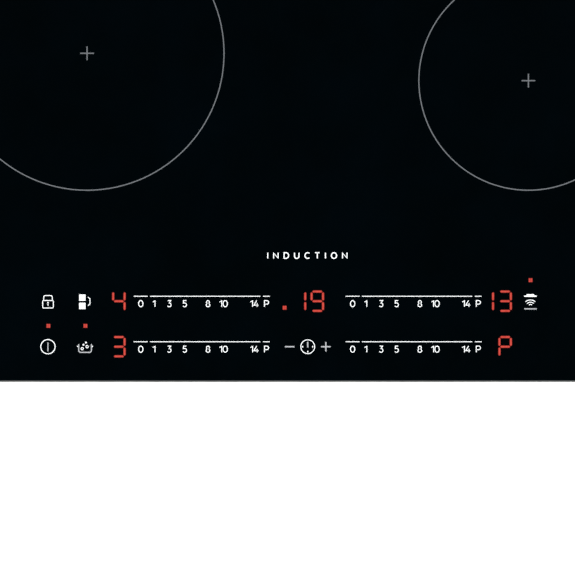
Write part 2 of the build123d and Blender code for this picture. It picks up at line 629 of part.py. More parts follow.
def make_controls():
    carrier = block(UI_LEFT, UI_RIGHT, UI_FRONT, UI_REAR, UI_FLOOR_BOTTOM, FOIL_BOTTOM)
    carrier -= block(
        UI_LEFT + UI_WALL, UI_RIGHT - UI_WALL, UI_FRONT + UI_WALL, UI_REAR - UI_WALL,
        UI_FLOOR_TOP, FOIL_BOTTOM,
    )
    for x in (UI_LEFT + UI_LEG_INSET, 0.0, UI_RIGHT - UI_LEG_INSET):
        for y in (UI_FRONT + UI_LEG_INSET, UI_REAR - UI_LEG_INSET):
            carrier += disc(x, y, UI_LEG_R, SHEET, UI_FLOOR_BOTTOM)
            carrier += disc(x, y, UI_STUD_R, UI_FLOOR_TOP, UI_BOARD_BOTTOM)
    nodes["control_carrier"] = carrier

    margin = UI_WALL + UI_BOARD_SIDE_GAP
    nodes["control_board"] = block(
        UI_LEFT + margin, UI_RIGHT - margin, UI_FRONT + margin, UI_REAR - margin,
        UI_BOARD_BOTTOM, UI_BOARD_TOP,
    )
    nodes["touch_foil"] = block(UI_LEFT, UI_RIGHT, UI_FRONT, UI_REAR, FOIL_BOTTOM, GLASS_BOTTOM)
    nodes["led_displays"] = group(
        [around(x, y, w, DISPLAY_DEPTH, UI_BOARD_TOP, FOIL_BOTTOM) for x, y, w in display_places()]
    )
    outer, guides, chips = LAMP_SIZE + 2 * LAMP_GUIDE_WALL, [], []
    for x, y in lamp_places():
        guide = around(x, y, outer, outer, UI_BOARD_TOP, FOIL_BOTTOM)
        guides.append(guide - around(x, y, LAMP_SIZE, LAMP_SIZE, UI_BOARD_TOP, FOIL_BOTTOM))
        chip = LAMP_SIZE - LAMP_CHIP_GAP
        chips.append(around(x, y, chip, chip, UI_BOARD_TOP, UI_BOARD_TOP + LAMP_CHIP_HEIGHT))
    nodes["lamp_guides"] = group(guides)
    nodes["indicator_lamps"] = group(chips)
    pads = [disc(x, y, KEY_PAD_R, UI_BOARD_TOP, FOIL_BOTTOM) for x, y in key_places()]
    for x, y in slider_places():
        pads.append(around(x, y, SLIDER_LENGTH, SLIDER_PAD_DEPTH, UI_BOARD_TOP, FOIL_BOTTOM))
    nodes["touch_pads"] = group(pads)


# ---------------------------------------------------------------- coils
def spiral_band(start, end, pitch, width):
    """A flat spiral strip of half circles, whose radius grows by half a pitch each half turn."""
    count = int((end - start) / (pitch / 2))
    inner, outer = [], []
    point = Vector(start, 0)
    out_point = Vector(start + width, 0)
    for i in range(count):
        radius = start + i * pitch / 2
        sign = 1 if i % 2 == 0 else -1
        centre = point - Vector(sign * radius, 0)
        top = centre + Vector(0, sign * radius)
        far = centre - Vector(sign * radius, 0)
        inner.append(ThreePointArc(point, top, far))
        out_top = centre + Vector(0, sign * (radius + width))
        out_far = centre - Vector(sign * (radius + width), 0)
        outer.append(ThreePointArc(out_point, out_top, out_far))
        point, out_point = far, out_far
    edges = inner + outer + [Line((start, 0), (start + width, 0)), Line(point, out_point)]
    return make_face(Wire(edges))


def ferrite_bar(x, y, angle, inner, outer):
    length = outer - inner
    bar = Pos(inner + length / 2, 0, SHIELD_TOP) * Box(length, FERRITE_WIDTH, FERRITE_HEIGHT, align=LOW)
    return Pos(x, y, 0) * Rot(0, 0, angle) * bar


def leaf_spring(x, y, angle):
    """A shallow arched strip between the tray and the coil's shield."""
    rise = SHIELD_BOTTOM - TRAY_TOP
    half = SPRING_SPAN / 2
    under = ThreePointArc((-half, 0), (0, rise - SPRING_STRIP), (half, 0))
    over = ThreePointArc((-half, SPRING_STRIP), (0, rise), (half, SPRING_STRIP))
    ends = [Line((s * half, 0), (s * half, SPRING_STRIP)) for s in (-1, 1)]
    strip = extrude(make_face(Wire([under, over] + ends)), SPRING_WIDTH / 2, both=True)
    return Pos(x, y, TRAY_TOP) * Rot(0, 0, angle) * Rot(90, 0, 0) * strip


def make_coils():
    shields, bars, formers, windings, covers, springs, sensors = [], [], [], [], [], [], []
    for x, y, radius, bar_count in ZONES:
        rim = radius + COIL_RIM
        bar_in, bar_out = COIL_START_R, radius - FERRITE_END_GAP
        shields.append(ring(x, y, rim, COIL_HUB_R, SHIELD_BOTTOM, SHIELD_TOP))
        zone_bars = [ferrite_bar(x, y, i * 360 / bar_count, bar_in, bar_out) for i in range(bar_count)]
        bars += zone_bars
        former = ring(x, y, rim, SENSOR_R + SENSOR_GAP, FORMER_BOTTOM, WINDING_BOTTOM)
        former += ring(x, y, COIL_START_R - FORMER_WALL, COIL_HUB_R, SHIELD_TOP, FORMER_BOTTOM)
        former += ring(x, y, rim, rim - FORMER_WALL, SHIELD_TOP, FORMER_BOTTOM)
        formers.append(former)
        band = extrude(spiral_band(COIL_START_R, radius - LITZ_WIDTH, LITZ_PITCH, LITZ_WIDTH), LITZ_HEIGHT)
        windings.append(Pos(x, y, WINDING_BOTTOM) * band)
        covers.append(ring(x, y, radius, SENSOR_R + SENSOR_GAP, WINDING_TOP, GLASS_BOTTOM))
        for i in range(SPRING_COUNT):
            angle = i * 360 / SPRING_COUNT
            turn = math.radians(90 + angle)
            reach = radius * SPRING_REACH
            springs.append(leaf_spring(x + reach * math.cos(turn), y + reach * math.sin(turn), angle))
        sensor = disc(x, y, SENSOR_R, GLASS_BOTTOM - SENSOR_HEIGHT, GLASS_BOTTOM)
        flange_low = FORMER_BOTTOM - SENSOR_FLANGE_SHEET
        sensor += disc(x, y, SENSOR_R + SENSOR_FLANGE, flange_low, FORMER_BOTTOM)
        sensors.append(sensor)
    nodes["coil_shields"] = group(shields)
    nodes["coil_ferrites"] = group(bars)
    nodes["coil_formers"] = group(formers)
    nodes["coil_windings"] = group(windings)
    nodes["coil_insulation"] = group(covers)
    nodes["coil_springs"] = group(springs)
    nodes["temperature_sensors"] = group(sensors)


def post_places():
    front, rear = TRAY_FRONT_Y + TRAY_SCREW_INSET, TRAY_REAR_Y - TRAY_SCREW_INSET
    inner_x, outer_x = TRAY_INNER_X + TRAY_SCREW_INSET, TRAY_OUTER_X - TRAY_SCREW_INSET
    inner = [(side * inner_x, y) for side in (-1, 1) for y in (front, rear)]
    return inner + [(side * outer_x, y) for side in (-1, 1) for y in (front, TRAY_MIDDLE_POST_Y)]


def make_trays():
    trays = []
    for side in (-1, 1):
        x0, x1 = sorted((side * TRAY_INNER_X, side * TRAY_OUTER_X))
        tray = block(x0, x1, TRAY_FRONT_Y, TRAY_REAR_Y, TRAY_LOW, TRAY_TOP)
        for x, y, _, _ in ZONES:
            tray -= disc(x, y, COIL_HUB_R, TRAY_LOW, TRAY_TOP)
        for x, y in post_places():
            tray -= disc(x, y, TRAY_SCREW_R + SCREW_CLEARANCE, TRAY_LOW, TRAY_TOP)
        trays.append(tray)
    nodes["coil_trays"] = group(trays)
    nodes["tray_posts"] = group([disc(x, y, POST_R, SHEET, TRAY_LOW) for x, y in post_places()])
    screws = []
    for x, y in post_places():
        head = disc(x, y, TRAY_SCREW_HEAD_R, TRAY_TOP, TRAY_TOP + TRAY_SCREW_HEAD)
        screws.append(head + disc(x, y, TRAY_SCREW_R, TRAY_LOW, TRAY_TOP))
    nodes["tray_screws"] = group(screws)


# ---------------------------------------------------------------- fans
def make_fans():
    housings, lids, motors = [], [], []
    cavity_low, cavity_high = FAN_BOTTOM + FAN_WALL, FAN_TOP - FAN_WALL
    motor_low = cavity_high - FAN_MOTOR_HEIGHT
    plate_high = motor_low - FAN_RUNNING_GAP
    plate_low = plate_high - IMPELLER_PLATE
    blade_low = cavity_low + IMPELLER_FLOOR_GAP
    shaft_low = blade_low + SHAFT_END_GAP
    socket_high = cavity_high - SHAFT_SOCKET_FLOOR
    half = FAN_SIDE / 2
    y0, y1 = FAN_Y - half, FAN_Y + half
    blade_mid = IMPELLER_R - BLADE_LENGTH / 2 - BLADE_INSET
    blade = Pos(blade_mid, 0, blade_low) * Rot(0, 0, BLADE_ANGLE) * Box(
        BLADE_LENGTH, BLADE_THICKNESS, plate_low - blade_low, align=LOW
    )
    for name, x in zip(("left", "right"), FAN_X):
        body = block(x - half, x + half, y0, y1, FAN_BOTTOM, cavity_high)
        body = fillet(body.edges().filter_by(Axis.Z), FAN_CORNER)
        body -= disc(x, FAN_Y, FAN_CAVITY_R, cavity_low, cavity_high)
        body -= disc(x, FAN_Y, FAN_INTAKE_R, FAN_BOTTOM, cavity_low)
        body -= block(
            x + FAN_OUTLET_LEFT, x + FAN_CAVITY_R, y0 - CUT_PAST, FAN_Y, cavity_low, cavity_high
        )
        housings.append(body)
        lid = block(x - half, x + half, y0, y1, cavity_high, FAN_TOP)
        lids.append(fillet(lid.edges().filter_by(Axis.Z), FAN_CORNER))
        motor = disc(x, FAN_Y, FAN_MOTOR_R, motor_low, cavity_high)
        socket = disc(x, FAN_Y, FAN_SHAFT_R + SCREW_CLEARANCE / 2, motor_low, socket_high)
        motors.append(motor - socket)
        shaft_high = socket_high - SHAFT_TOP_GAP
        nodes[f"fan_shaft_{name}"] = disc(x, FAN_Y, FAN_SHAFT_R, shaft_low, shaft_high)
        wheel = disc(x, FAN_Y, IMPELLER_R, plate_low, plate_high)
        wheel += disc(x, FAN_Y, IMPELLER_HUB_R, shaft_low, plate_low)
        for i in range(BLADE_COUNT):
            wheel += Pos(x, FAN_Y, 0) * Rot(0, 0, i * 360 / BLADE_COUNT) * blade
        wheel += ring(x, FAN_Y, IMPELLER_R, IMPELLER_R - IMPELLER_RING, blade_low, blade_low + IMPELLER_RING)
        nodes[f"fan_impeller_{name}"] = wheel - disc(x, FAN_Y, FAN_SHAFT_R, blade_low, plate_high)
    nodes["fan_housings"] = group(housings)
    nodes["fan_lids"] = group(lids)
    nodes["fan_motors"] = group(motors)


# ---------------------------------------------------------------- power electronics
def choke(x, y, size, turn_count, level):
    """A ring core standing on a board, and the rectangular wire loops round its section."""
    outer, inner, height = size
    wire, gap = CHOKE_WIRE, CHOKE_GAP
    low = level + wire + gap
    high = low + height
    core = ring(x, y, outer, inner, low, high)
    loop = block(inner - gap - wire, outer + gap + wire, -wire / 2, wire / 2, level, high + gap + wire)
    loop -= block(inner - gap, outer + gap, -wire / 2, wire / 2, low - gap, high + gap)
    step = 360 / (turn_count + 2)
    return core, [Pos(x, y, 0) * Rot(0, 0, i * step) * loop for i in range(turn_count)]


def board_tray(x0, x1, y0, y1, screw_inset):
    """An open plastic tray with four bosses, and the circuit board that lies on them."""
    tray = block(x0, x1, y0, y1, SHEET, MODULE_RIM)
    tray -= block(
        x0 + MODULE_WALL, x1 - MODULE_WALL, y0 + MODULE_WALL, y1 - MODULE_WALL, MODULE_FLOOR_TOP, MODULE_RIM
    )
    for x in (x0 + screw_inset, x1 - screw_inset):
        for y in (y0 + screw_inset, y1 - screw_inset):
            tray += disc(x, y, BOSS_R, MODULE_FLOOR_TOP, BOARD_BOTTOM)
    edge = MODULE_WALL + BOARD_EDGE_GAP
    board = block(x0 + edge, x1 - edge, y0 + edge, y1 - edge, BOARD_BOTTOM, BOARD_TOP)
    for x, y in post_places():
        tray -= disc(x, y, POST_R + POST_CLEARANCE, SHEET, MODULE_RIM)
        board -= disc(x, y, POST_R + 2 * POST_CLEARANCE, BOARD_BOTTOM, BOARD_TOP)
    return tray, board


def heatsink(x, y, level):
    """A finned aluminium extrusion, whose upright base has its back on x."""
    y0, y1 = y - HEATSINK_LENGTH / 2, y + HEATSINK_LENGTH / 2
    sink = block(x, x + HEATSINK_BASE, y0, y1, level, level + HEATSINK_HEIGHT)
    pitch = (HEATSINK_HEIGHT - FIN_THICKNESS) / (FIN_COUNT - 1)
    for i in range(FIN_COUNT):
        z = level + i * pitch
        sink += block(x + HEATSINK_BASE, x + HEATSINK_BASE + HEATSINK_FIN, y0, y1, z, z + FIN_THICKNESS)
    return sink


def on_board(x, y, size):
    """A box-shaped component standing on a board."""
    width, depth, height = size
    return around(x, y, width, depth, BOARD_TOP, BOARD_TOP + height)


def make_electronics():
    trays, boards, sinks, transistors, clips, films, cans, cores, turns = [], [], [], [], [], [], [], [], []
    middle_y = (MODULE_FRONT + MODULE_REAR) / 2 + PARTS_SHIFT
    for x in MODULE_X:
        half = MODULE_WIDTH / 2
        tray, board = board_tray(x - half, x + half, MODULE_FRONT, MODULE_REAR, MODULE_SCREW_INSET)
        trays.append(tray)
        boards.append(board)
        sinks.append(heatsink(x, middle_y, BOARD_TOP))
        body_size = (TRANSISTOR_DEPTH, TRANSISTOR_WIDTH, TRANSISTOR_HEIGHT)
        clip_size = (CLIP_SHEET, CLIP_WIDTH, TRANSISTOR_HEIGHT)
        for y in spread(4, TRANSISTOR_PITCH, middle_y):
            transistors.append(on_board(x - TRANSISTOR_DEPTH / 2, y, body_size))
            clips.append(on_board(x - TRANSISTOR_DEPTH - CLIP_SHEET / 2, y, clip_size))
        films += [on_board(x + FILM_X, y, FILM_SIZE) for y in spread(4, FILM_PITCH, middle_y)]
        for y in spread(3, CAN_PITCH, MODULE_FRONT + CAN_Y):
            cans.append(disc(x + CAN_X, y, CAN_R, BOARD_TOP, BOARD_TOP + CAN_HEIGHT))
        core, loops = choke(x + CHOKE_X, middle_y + CHOKE_SHIFT, CHOKE_SIZE, CHOKE_TURNS, BOARD_TOP)
        cores.append(core)
        turns += loops

    half = FILTER_WIDTH / 2
    tray, board = board_tray(-half, half, FILTER_FRONT, FILTER_REAR, FILTER_SCREW_INSET)
    trays.append(tray)
    middle = (FILTER_FRONT + FILTER_REAR) / 2
    films += [on_board(x, middle, FILTER_FILM_SIZE) for x in FILTER_FILM_X]
    core, loops = choke(FILTER_CHOKE_X, middle, FILTER_CHOKE_SIZE, FILTER_CHOKE_TURNS, BOARD_TOP)
    cores.append(core)
    turns += loops
    nodes["module_trays"] = group(trays)
    nodes["power_boards"] = group(boards)
    nodes["filter_board"] = board
    nodes["heatsinks"] = group(sinks)
    nodes["power_transistors"] = group(transistors)
    nodes["transistor_clips"] = group(clips)
    nodes["film_capacitors"] = group(films)
    nodes["can_capacitors"] = group(cans)
    nodes["choke_cores"] = group(cores)
    nodes["choke_windings"] = group(turns)
    nodes["relays"] = group([on_board(x, middle, RELAY_SIZE) for x in RELAY_X])
    fuse_left, fuse_right = FUSE_ENDS
    nodes["fuses"] = group(
        [rod_x(fuse_left, fuse_right, y, BOARD_TOP + FUSE_R, FUSE_R) for y in spread(3, FUSE_PITCH, middle)]
    )


# ---------------------------------------------------------------- wiring
def wire(points, radius, bend):
    """A round wire through a few points, with the same arc at every corner."""
    path = FilletPolyline(*points, radius=bend)
    section = Plane(origin=path @ 0, z_dir=path % 0) * Circle(radius)
    return sweep(section, path=path)


def mains_wire_starts():
    """(x, z) of each mains wire where it leaves the front of the terminal block."""
    low = MODULE_RIM + MAINS_WIRE_R
    return [(BLOCK_LEFT + (i + 0.5) * POLE_PITCH, low + i * MAINS_WIRE_PITCH)
            for i in range(MAINS_WIRE_COUNT)]


def make_wiring():
    middle = (FILTER_FRONT + FILTER_REAR) / 2
    side_x = POCKET_WALL_X - WIRE_LANE / 2
    turn_y = TERMINAL_FRONT - MAINS_TURN
    mains = []
    for i, (x, z) in enumerate(mains_wire_starts()):
        end_x = FILTER_WIDTH / 2 - MAINS_END - i * MAINS_WIRE_PITCH
        points = [(x, BLOCK_FRONT, z), (x, turn_y, z), (side_x, turn_y, z), (side_x, middle, z),
                  (end_x, middle, z), (end_x, middle, BOARD_TOP)]
        mains.append(wire(points, MAINS_WIRE_R, MAINS_WIRE_BEND))
    nodes["mains_wires"] = group(mains)

    leads = []
    for x, y, _, _ in ZONES:
        lead_x = x - (COIL_HUB_R - 2 * LEAD_R)
        leads += [disc(lead_x, y + dy, LEAD_R, BOARD_TOP, FORMER_BOTTOM) for dy in (-LEAD_SPLIT, LEAD_SPLIT)]
    nodes["coil_leads"] = group(leads)

    ribbon = around(RIBBON_X, UI_REAR + RIBBON_SHEET / 2, RIBBON_WIDTH, RIBBON_SHEET, BOARD_TOP, FOIL_BOTTOM)
    nodes["ribbon_cable"] = ribbon


# ---------------------------------------------------------------- mains terminal
def make_terminal_box():
    back = CASE_REAR - SHEET
    top = TERMINAL_FLOOR + TERMINAL_HEIGHT
    box = block(TERMINAL_LEFT, TERMINAL_RIGHT, TERMINAL_FRONT, back, TERMINAL_FLOOR, top)
    box -= block(
        TERMINAL_LEFT + TERMINAL_WALL, TERMINAL_RIGHT - TERMINAL_WALL, TERMINAL_FRONT + TERMINAL_WALL, back,
        TERMINAL_FLOOR + TERMINAL_WALL, top - TERMINAL_WALL,
    )
    lug_right, lug_front = HINGE_X + KNUCKLE_R, HINGE_Y - KNUCKLE_R
    box += block(TERMINAL_LEFT, lug_right, lug_front, back, TERMINAL_FLOOR, WINDOW_LOW + COVER_GAP)
    box += block(TERMINAL_LEFT, lug_right, lug_front, back, WINDOW_HIGH - COVER_GAP, top)
    pin_low, pin_high = TERMINAL_FLOOR + PIN_END_GAP, top - PIN_END_GAP
    box -= disc(HINGE_X, HINGE_Y, HINGE_PIN_R, pin_low, pin_high)
    for x, z in mains_wire_starts():
        box -= rod_y(x, TERMINAL_FRONT, TERMINAL_FRONT + TERMINAL_WALL, z, MAINS_WIRE_R + SCREW_CLEARANCE)
    nodes["terminal_box"] = box
    nodes["terminal_hinge_pin"] = disc(HINGE_X, HINGE_Y, HINGE_PIN_R, pin_low, pin_high)


def make_terminal_cover():
    low, high = WINDOW_LOW + 2 * COVER_GAP, WINDOW_HIGH - 2 * COVER_GAP
    right = INLET_X - INLET_WIDTH / 2 - COVER_GAP
    inner_face = CASE_REAR - COVER_THICKNESS
    cover = block(HINGE_X, right, inner_face, CASE_REAR, low, high)
    cover += disc(HINGE_X, HINGE_Y, KNUCKLE_R, low, high)
    catch_right = right - COVER_CATCH_INSET
    cover += block(catch_right - COVER_CATCH, catch_right, inner_face - COVER_CATCH_DEPTH, inner_face,
                   INLET_Z - 2 * COVER_CATCH, INLET_Z + 2 * COVER_CATCH)
    rib_left, rib_right = HINGE_X + 3 * KNUCKLE_R, right - 3 * COVER_RIB_MARGIN
    for z in (low + COVER_RIB_MARGIN, high - COVER_RIB_MARGIN - COVER_RIB):
        cover += block(rib_left, rib_right, inner_face - COVER_RIB_DEPTH, inner_face, z, z + COVER_RIB)
    bore = disc(HINGE_X, HINGE_Y, HINGE_PIN_R + HINGE_CLEARANCE, low, high)
    nodes["terminal_cover"] = cover - bore


def make_inlet():
    half = INLET_WIDTH / 2
    front = CASE_REAR - INLET_LENGTH
    bush = block(INLET_X - half, INLET_X + half, front, CASE_REAR,
                 WINDOW_LOW + COVER_GAP / 2, WINDOW_HIGH - COVER_GAP / 2)
    bush = fillet(bush.edges().filter_by(Axis.Y), BUSH_CORNER)
    nodes["cable_inlet"] = bush - rod_y(INLET_X, front, CASE_REAR, INLET_Z, INLET_BORE_R)


def make_terminal_block():
    low = TERMINAL_FLOOR + TERMINAL_WALL
    high = low + BLOCK_HEIGHT
    right = BLOCK_LEFT + POLE_COUNT * POLE_PITCH
    y, rear = BLOCK_FRONT + BLOCK_DEPTH / 2, BLOCK_FRONT + BLOCK_DEPTH
    terminal = block(BLOCK_LEFT, right, BLOCK_FRONT, rear, low, high)
    screw_top = high - PIN_END_GAP
    plate_low, plate_high = low + PLATE_LOW, low + PLATE_LOW + PLATE_SHEET
    mouth = PLATE_HALF + PLATE_MOUTH
    slot = Box(2 * POLE_SCREW_R, POLE_SLOT_WIDTH, 2 * POLE_SLOT_DEPTH)
    screws, plates = [], []
    for i in range(POLE_COUNT):
        x = BLOCK_LEFT + (i + 0.5) * POLE_PITCH
        terminal -= disc(x, y, POLE_WELL_R, low + POLE_FLOOR, high)
        terminal -= block(x - mouth, x + mouth, rear - PLATE_HOLD, rear,
                          plate_low - PLATE_MOUTH, plate_high + PLATE_WIRE_SPACE)
        screws.append(disc(x, y, POLE_SCREW_R, low + POLE_FLOOR, screw_top) - Pos(x, y, screw_top) * slot)
        plates.append(block(x - PLATE_HALF, x + PLATE_HALF, rear - PLATE_HOLD, rear + PLATE_HALF,
                            plate_low, plate_high))
    nodes["terminal_block"] = terminal
    nodes["terminal_screws"] = group(screws + plates)


for make in (make_glass, make_seal, make_frame, make_adhesive, make_case, make_case_screws, make_clamps,
             make_controls, make_coils, make_trays, make_fans, make_electronics, make_wiring,
             make_terminal_box, make_terminal_cover, make_inlet, make_terminal_block):
    make()

os.makedirs("parts", exist_ok=True)
for node, shape in nodes.items():
    export_step(shape, f"parts/{node}.step")
print(len(nodes), "nodes")
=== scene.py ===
import bmesh
import bpy
import json
import math
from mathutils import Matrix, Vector


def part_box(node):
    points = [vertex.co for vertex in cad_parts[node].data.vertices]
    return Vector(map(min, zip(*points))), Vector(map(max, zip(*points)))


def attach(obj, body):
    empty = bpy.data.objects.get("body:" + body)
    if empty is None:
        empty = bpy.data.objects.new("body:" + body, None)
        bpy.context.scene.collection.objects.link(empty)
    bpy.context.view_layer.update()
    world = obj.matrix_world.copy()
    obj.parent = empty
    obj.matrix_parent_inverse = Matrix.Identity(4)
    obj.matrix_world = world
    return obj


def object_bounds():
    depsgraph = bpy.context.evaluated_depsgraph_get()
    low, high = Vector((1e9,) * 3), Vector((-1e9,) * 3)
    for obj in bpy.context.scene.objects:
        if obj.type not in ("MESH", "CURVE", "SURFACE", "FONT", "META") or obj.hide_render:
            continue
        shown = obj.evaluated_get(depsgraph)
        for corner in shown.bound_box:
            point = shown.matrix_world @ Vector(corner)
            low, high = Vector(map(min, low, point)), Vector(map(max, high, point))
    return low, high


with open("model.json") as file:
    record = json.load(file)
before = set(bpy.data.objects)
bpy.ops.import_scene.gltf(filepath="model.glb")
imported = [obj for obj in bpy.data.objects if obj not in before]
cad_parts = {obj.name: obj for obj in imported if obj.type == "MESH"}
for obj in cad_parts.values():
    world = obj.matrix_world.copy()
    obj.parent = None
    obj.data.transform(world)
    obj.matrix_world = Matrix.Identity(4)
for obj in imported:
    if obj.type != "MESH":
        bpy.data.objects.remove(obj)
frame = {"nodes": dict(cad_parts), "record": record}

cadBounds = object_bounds()
mm = 0.001
glassLow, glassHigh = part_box("glass_top")
glassTop = glassHigh.z
glassFront = glassLow.y


def hexColor(text):
    channels = [int(text[i:i + 2], 16) / 255 for i in (1, 3, 5)]
    linear = [c / 12.92 if c <= 0.04045 else ((c + 0.055) / 1.055) ** 2.4 for c in channels]
    return (*linear, 1.0)


def perMetre(sizeMm):
    # texture scale that makes one feature this many millimetres across
    return 1000 / sizeMm


def addNode(tree, kind, settings=None, values=None, links=None, stops=None):
    # values go to sockets by name or number, links come from other nodes' outputs, stops fill a colour ramp
    node = tree.nodes.new("ShaderNode" + kind)
    for name, value in (settings or {}).items():
        setattr(node, name, value)
    for name, value in (values or {}).items():
        node.inputs[name].default_value = value
    for name, socket in (links or {}).items():
        tree.links.new(socket, node.inputs[name])
    for i, (position, color) in enumerate(stops or []):
        elements = node.color_ramp.elements
        element = elements[i] if i < len(elements) else elements.new(position)
        element.position = position
        element.color = hexColor(color)
    return node


def newMaterial(name, **shaderValues):
    material = bpy.data.materials.new(name)
    material.use_nodes = True
    tree = material.node_tree
    tree.nodes.clear()
    shader = addNode(tree, "BsdfPrincipled", values=shaderValues)
    addNode(tree, "OutputMaterial", links={"Surface": shader.outputs[0]})
    place = addNode(tree, "TexCoord").outputs["Object"]
    return material, tree, shader, place


def dressShader(tree, shader, color, wear, roughness, relief, depthMm):
    # colour as given, roughness spread over the wear pattern, and the relief pattern as shallow depth
    low, high = roughness
    sheen = addNode(tree, "MapRange", values={"To Min": low, "To Max": high}, links={"Value": wear})
    bump = addNode(tree, "Bump", values={"Distance": depthMm * mm}, links={"Height": relief})
    tree.links.new(color, shader.inputs["Base Color"])
    tree.links.new(sheen.outputs["Result"], shader.inputs["Roughness"])
    tree.links.new(bump.outputs["Normal"], shader.inputs["Normal"])


# rolled and polished glass-ceramic: nearly black, mirror-like, with a faint wiped haze;
# the rolled surface undulates by microns over a few centimetres
glass = {"ior": 1.53, "dark": "#000203", "light": "#000305", "hazeMm": 55, "roughness": (0.035, 0.11),
         "rippleMm": 28, "rippleDepthMm": 0.004}


def blackGlassCeramic():
    material, tree, shader, place = newMaterial("blackGlassCeramic", IOR=glass["ior"])
    haze = addNode(tree, "TexNoise", links={"Vector": place}, values={
        "Scale": perMetre(glass["hazeMm"]), "Detail": 5.0, "Roughness": 0.6}).outputs["Fac"]
    tint = addNode(tree, "ValToRGB", links={"Fac": haze}, stops=[(0.35, glass["dark"]), (0.7, glass["light"])])
    ripple = addNode(tree, "TexNoise", links={"Vector": place}, values={
        "Scale": perMetre(glass["rippleMm"]), "Detail": 1.0, "Roughness": 0.55}).outputs["Fac"]
    dressShader(tree, shader, tint.outputs["Color"], haze, glass["roughness"], ripple, glass["rippleDepthMm"])
    return material


# fired ceramic ink, screen printed: matt, and a little grainy from the screen's mesh
ink = {"ior": 1.5, "meshMm": 0.35, "roughness": (0.45, 0.65), "depthMm": 0.01,
       "white": ("#DEE0E0", "#E7E9E8"), "grey": ("#8F9193", "#9B9D9F"), "zone": ("#4E5154", "#5C5F62")}


def enamelPrint(name, tones):
    material, tree, shader, place = newMaterial(name, IOR=ink["ior"])
    grain = addNode(tree, "TexNoise", links={"Vector": place}, values={
        "Scale": perMetre(ink["meshMm"]), "Detail": 2.0, "Roughness": 0.55}).outputs["Fac"]
    color = addNode(tree, "ValToRGB", links={"Fac": grain}, stops=[(0.3, tones[0]), (0.7, tones[1])])
    dressShader(tree, shader, color.outputs["Color"], grain, ink["roughness"], grain, ink["depthMm"])
    return material


# light-emitting diodes behind a diffusing film: an even glow, a little uneven over each bar
led = {"unlit": "#1A0504", "roughness": 0.4, "unevenMm": 1.6,
       "rim": ("#A3241A", "#BC3024"), "core": ("#D23E30", "#E0503F"),
       "module": ("#7A1410", "#A11F18"), "chip": ("#A8261C", "#E4503F")}


def litDisplay(name, tones, strength):
    values = {"Roughness": led["roughness"], "Base Color": hexColor(led["unlit"]),
              "Emission Strength": strength}
    material, tree, shader, place = newMaterial(name, **values)
    glow = addNode(tree, "TexNoise", links={"Vector": place}, values={
        "Scale": perMetre(led["unevenMm"]), "Detail": 2.0, "Roughness": 0.55}).outputs["Fac"]
    color = addNode(tree, "ValToRGB", links={"Fac": glow}, stops=[(0.35, tones[0]), (0.65, tones[1])])
    tree.links.new(color.outputs["Color"], shader.inputs["Emission Color"])
    return material


# hot-dip galvanised sheet: zinc crystals a few millimetres wide, each with its own brightness
zinc = {"crystalMm": 4, "crystals": ("#8E9091", "#999B9C", "#A8A9A9"), "wanderMm": 9, "wanderReach": 0.004,
        "stainMm": 90, "stain": ("#E2E3E3", "#FFFFFF"), "roughness": (0.3, 0.48), "grainMm": 1.1,
        "depthMm": 0.02}


def galvanisedSteel():
    material, tree, shader, place = newMaterial("galvanisedSteel", Metallic=1.0)
    wander = addNode(tree, "TexNoise", links={"Vector": place}, values={
        "Scale": perMetre(zinc["wanderMm"]), "Detail": 3.0, "Roughness": 0.55}).outputs["Fac"]
    bent = addNode(tree, "VectorMath", {"operation": "MULTIPLY_ADD"}, {1: (zinc["wanderReach"],) * 3},
                   {0: wander, 2: place}).outputs["Vector"]
    cells = addNode(tree, "TexVoronoi", values={"Scale": perMetre(zinc["crystalMm"])}, links={"Vector": bent})
    tone = addNode(tree, "SeparateColor", links={"Color": cells.outputs["Color"]}).outputs["Red"]
    dark, middle, light = zinc["crystals"]
    spangle = addNode(tree, "ValToRGB", links={"Fac": tone}, stops=[(0.0, dark), (0.5, middle), (1.0, light)])
    patches = addNode(tree, "TexNoise", links={"Vector": place}, values={
        "Scale": perMetre(zinc["stainMm"]), "Detail": 5.0, "Roughness": 0.55}).outputs["Fac"]
    dull, clean = zinc["stain"]
    stain = addNode(tree, "ValToRGB", links={"Fac": patches}, stops=[(0.3, dull), (0.65, clean)])
    mixed = addNode(tree, "Mix", {"data_type": "RGBA", "blend_type": "MULTIPLY"}, {0: 1.0},
                    {6: spangle.outputs["Color"], 7: stain.outputs["Color"]})
    grain = addNode(tree, "TexNoise", links={"Vector": place}, values={
        "Scale": perMetre(zinc["grainMm"]), "Detail": 3.0, "Roughness": 0.55}).outputs["Fac"]
    dressShader(tree, shader, mixed.outputs[2], tone, zinc["roughness"], grain, zinc["depthMm"])
    return material


# bright zinc plate over pressed or turned steel: smooth, with faint handling marks
plate = {"markMm": 3.5, "grainMm": 0.5, "depthMm": 0.006}


def platedSteel(name, dark, light, roughness):
    material, tree, shader, place = newMaterial(name, Metallic=1.0)
    marks = addNode(tree, "TexNoise", links={"Vector": place}, values={
        "Scale": perMetre(plate["markMm"]), "Detail": 5.0, "Roughness": 0.65}).outputs["Fac"]
    color = addNode(tree, "ValToRGB", links={"Fac": marks}, stops=[(0.3, dark), (0.7, light)])
    grain = addNode(tree, "TexNoise", links={"Vector": place}, values={
        "Scale": perMetre(plate["grainMm"]), "Detail": 2.0, "Roughness": 0.55}).outputs["Fac"]
    dressShader(tree, shader, color.outputs["Color"], marks, roughness, grain, plate["depthMm"])
    return material


# mill-finish aluminium, rolled or extruded: fine lines along the way the metal ran
rolled = {"alongScale": 0.03, "roughness": (0.28, 0.45), "depthMm": 0.008}


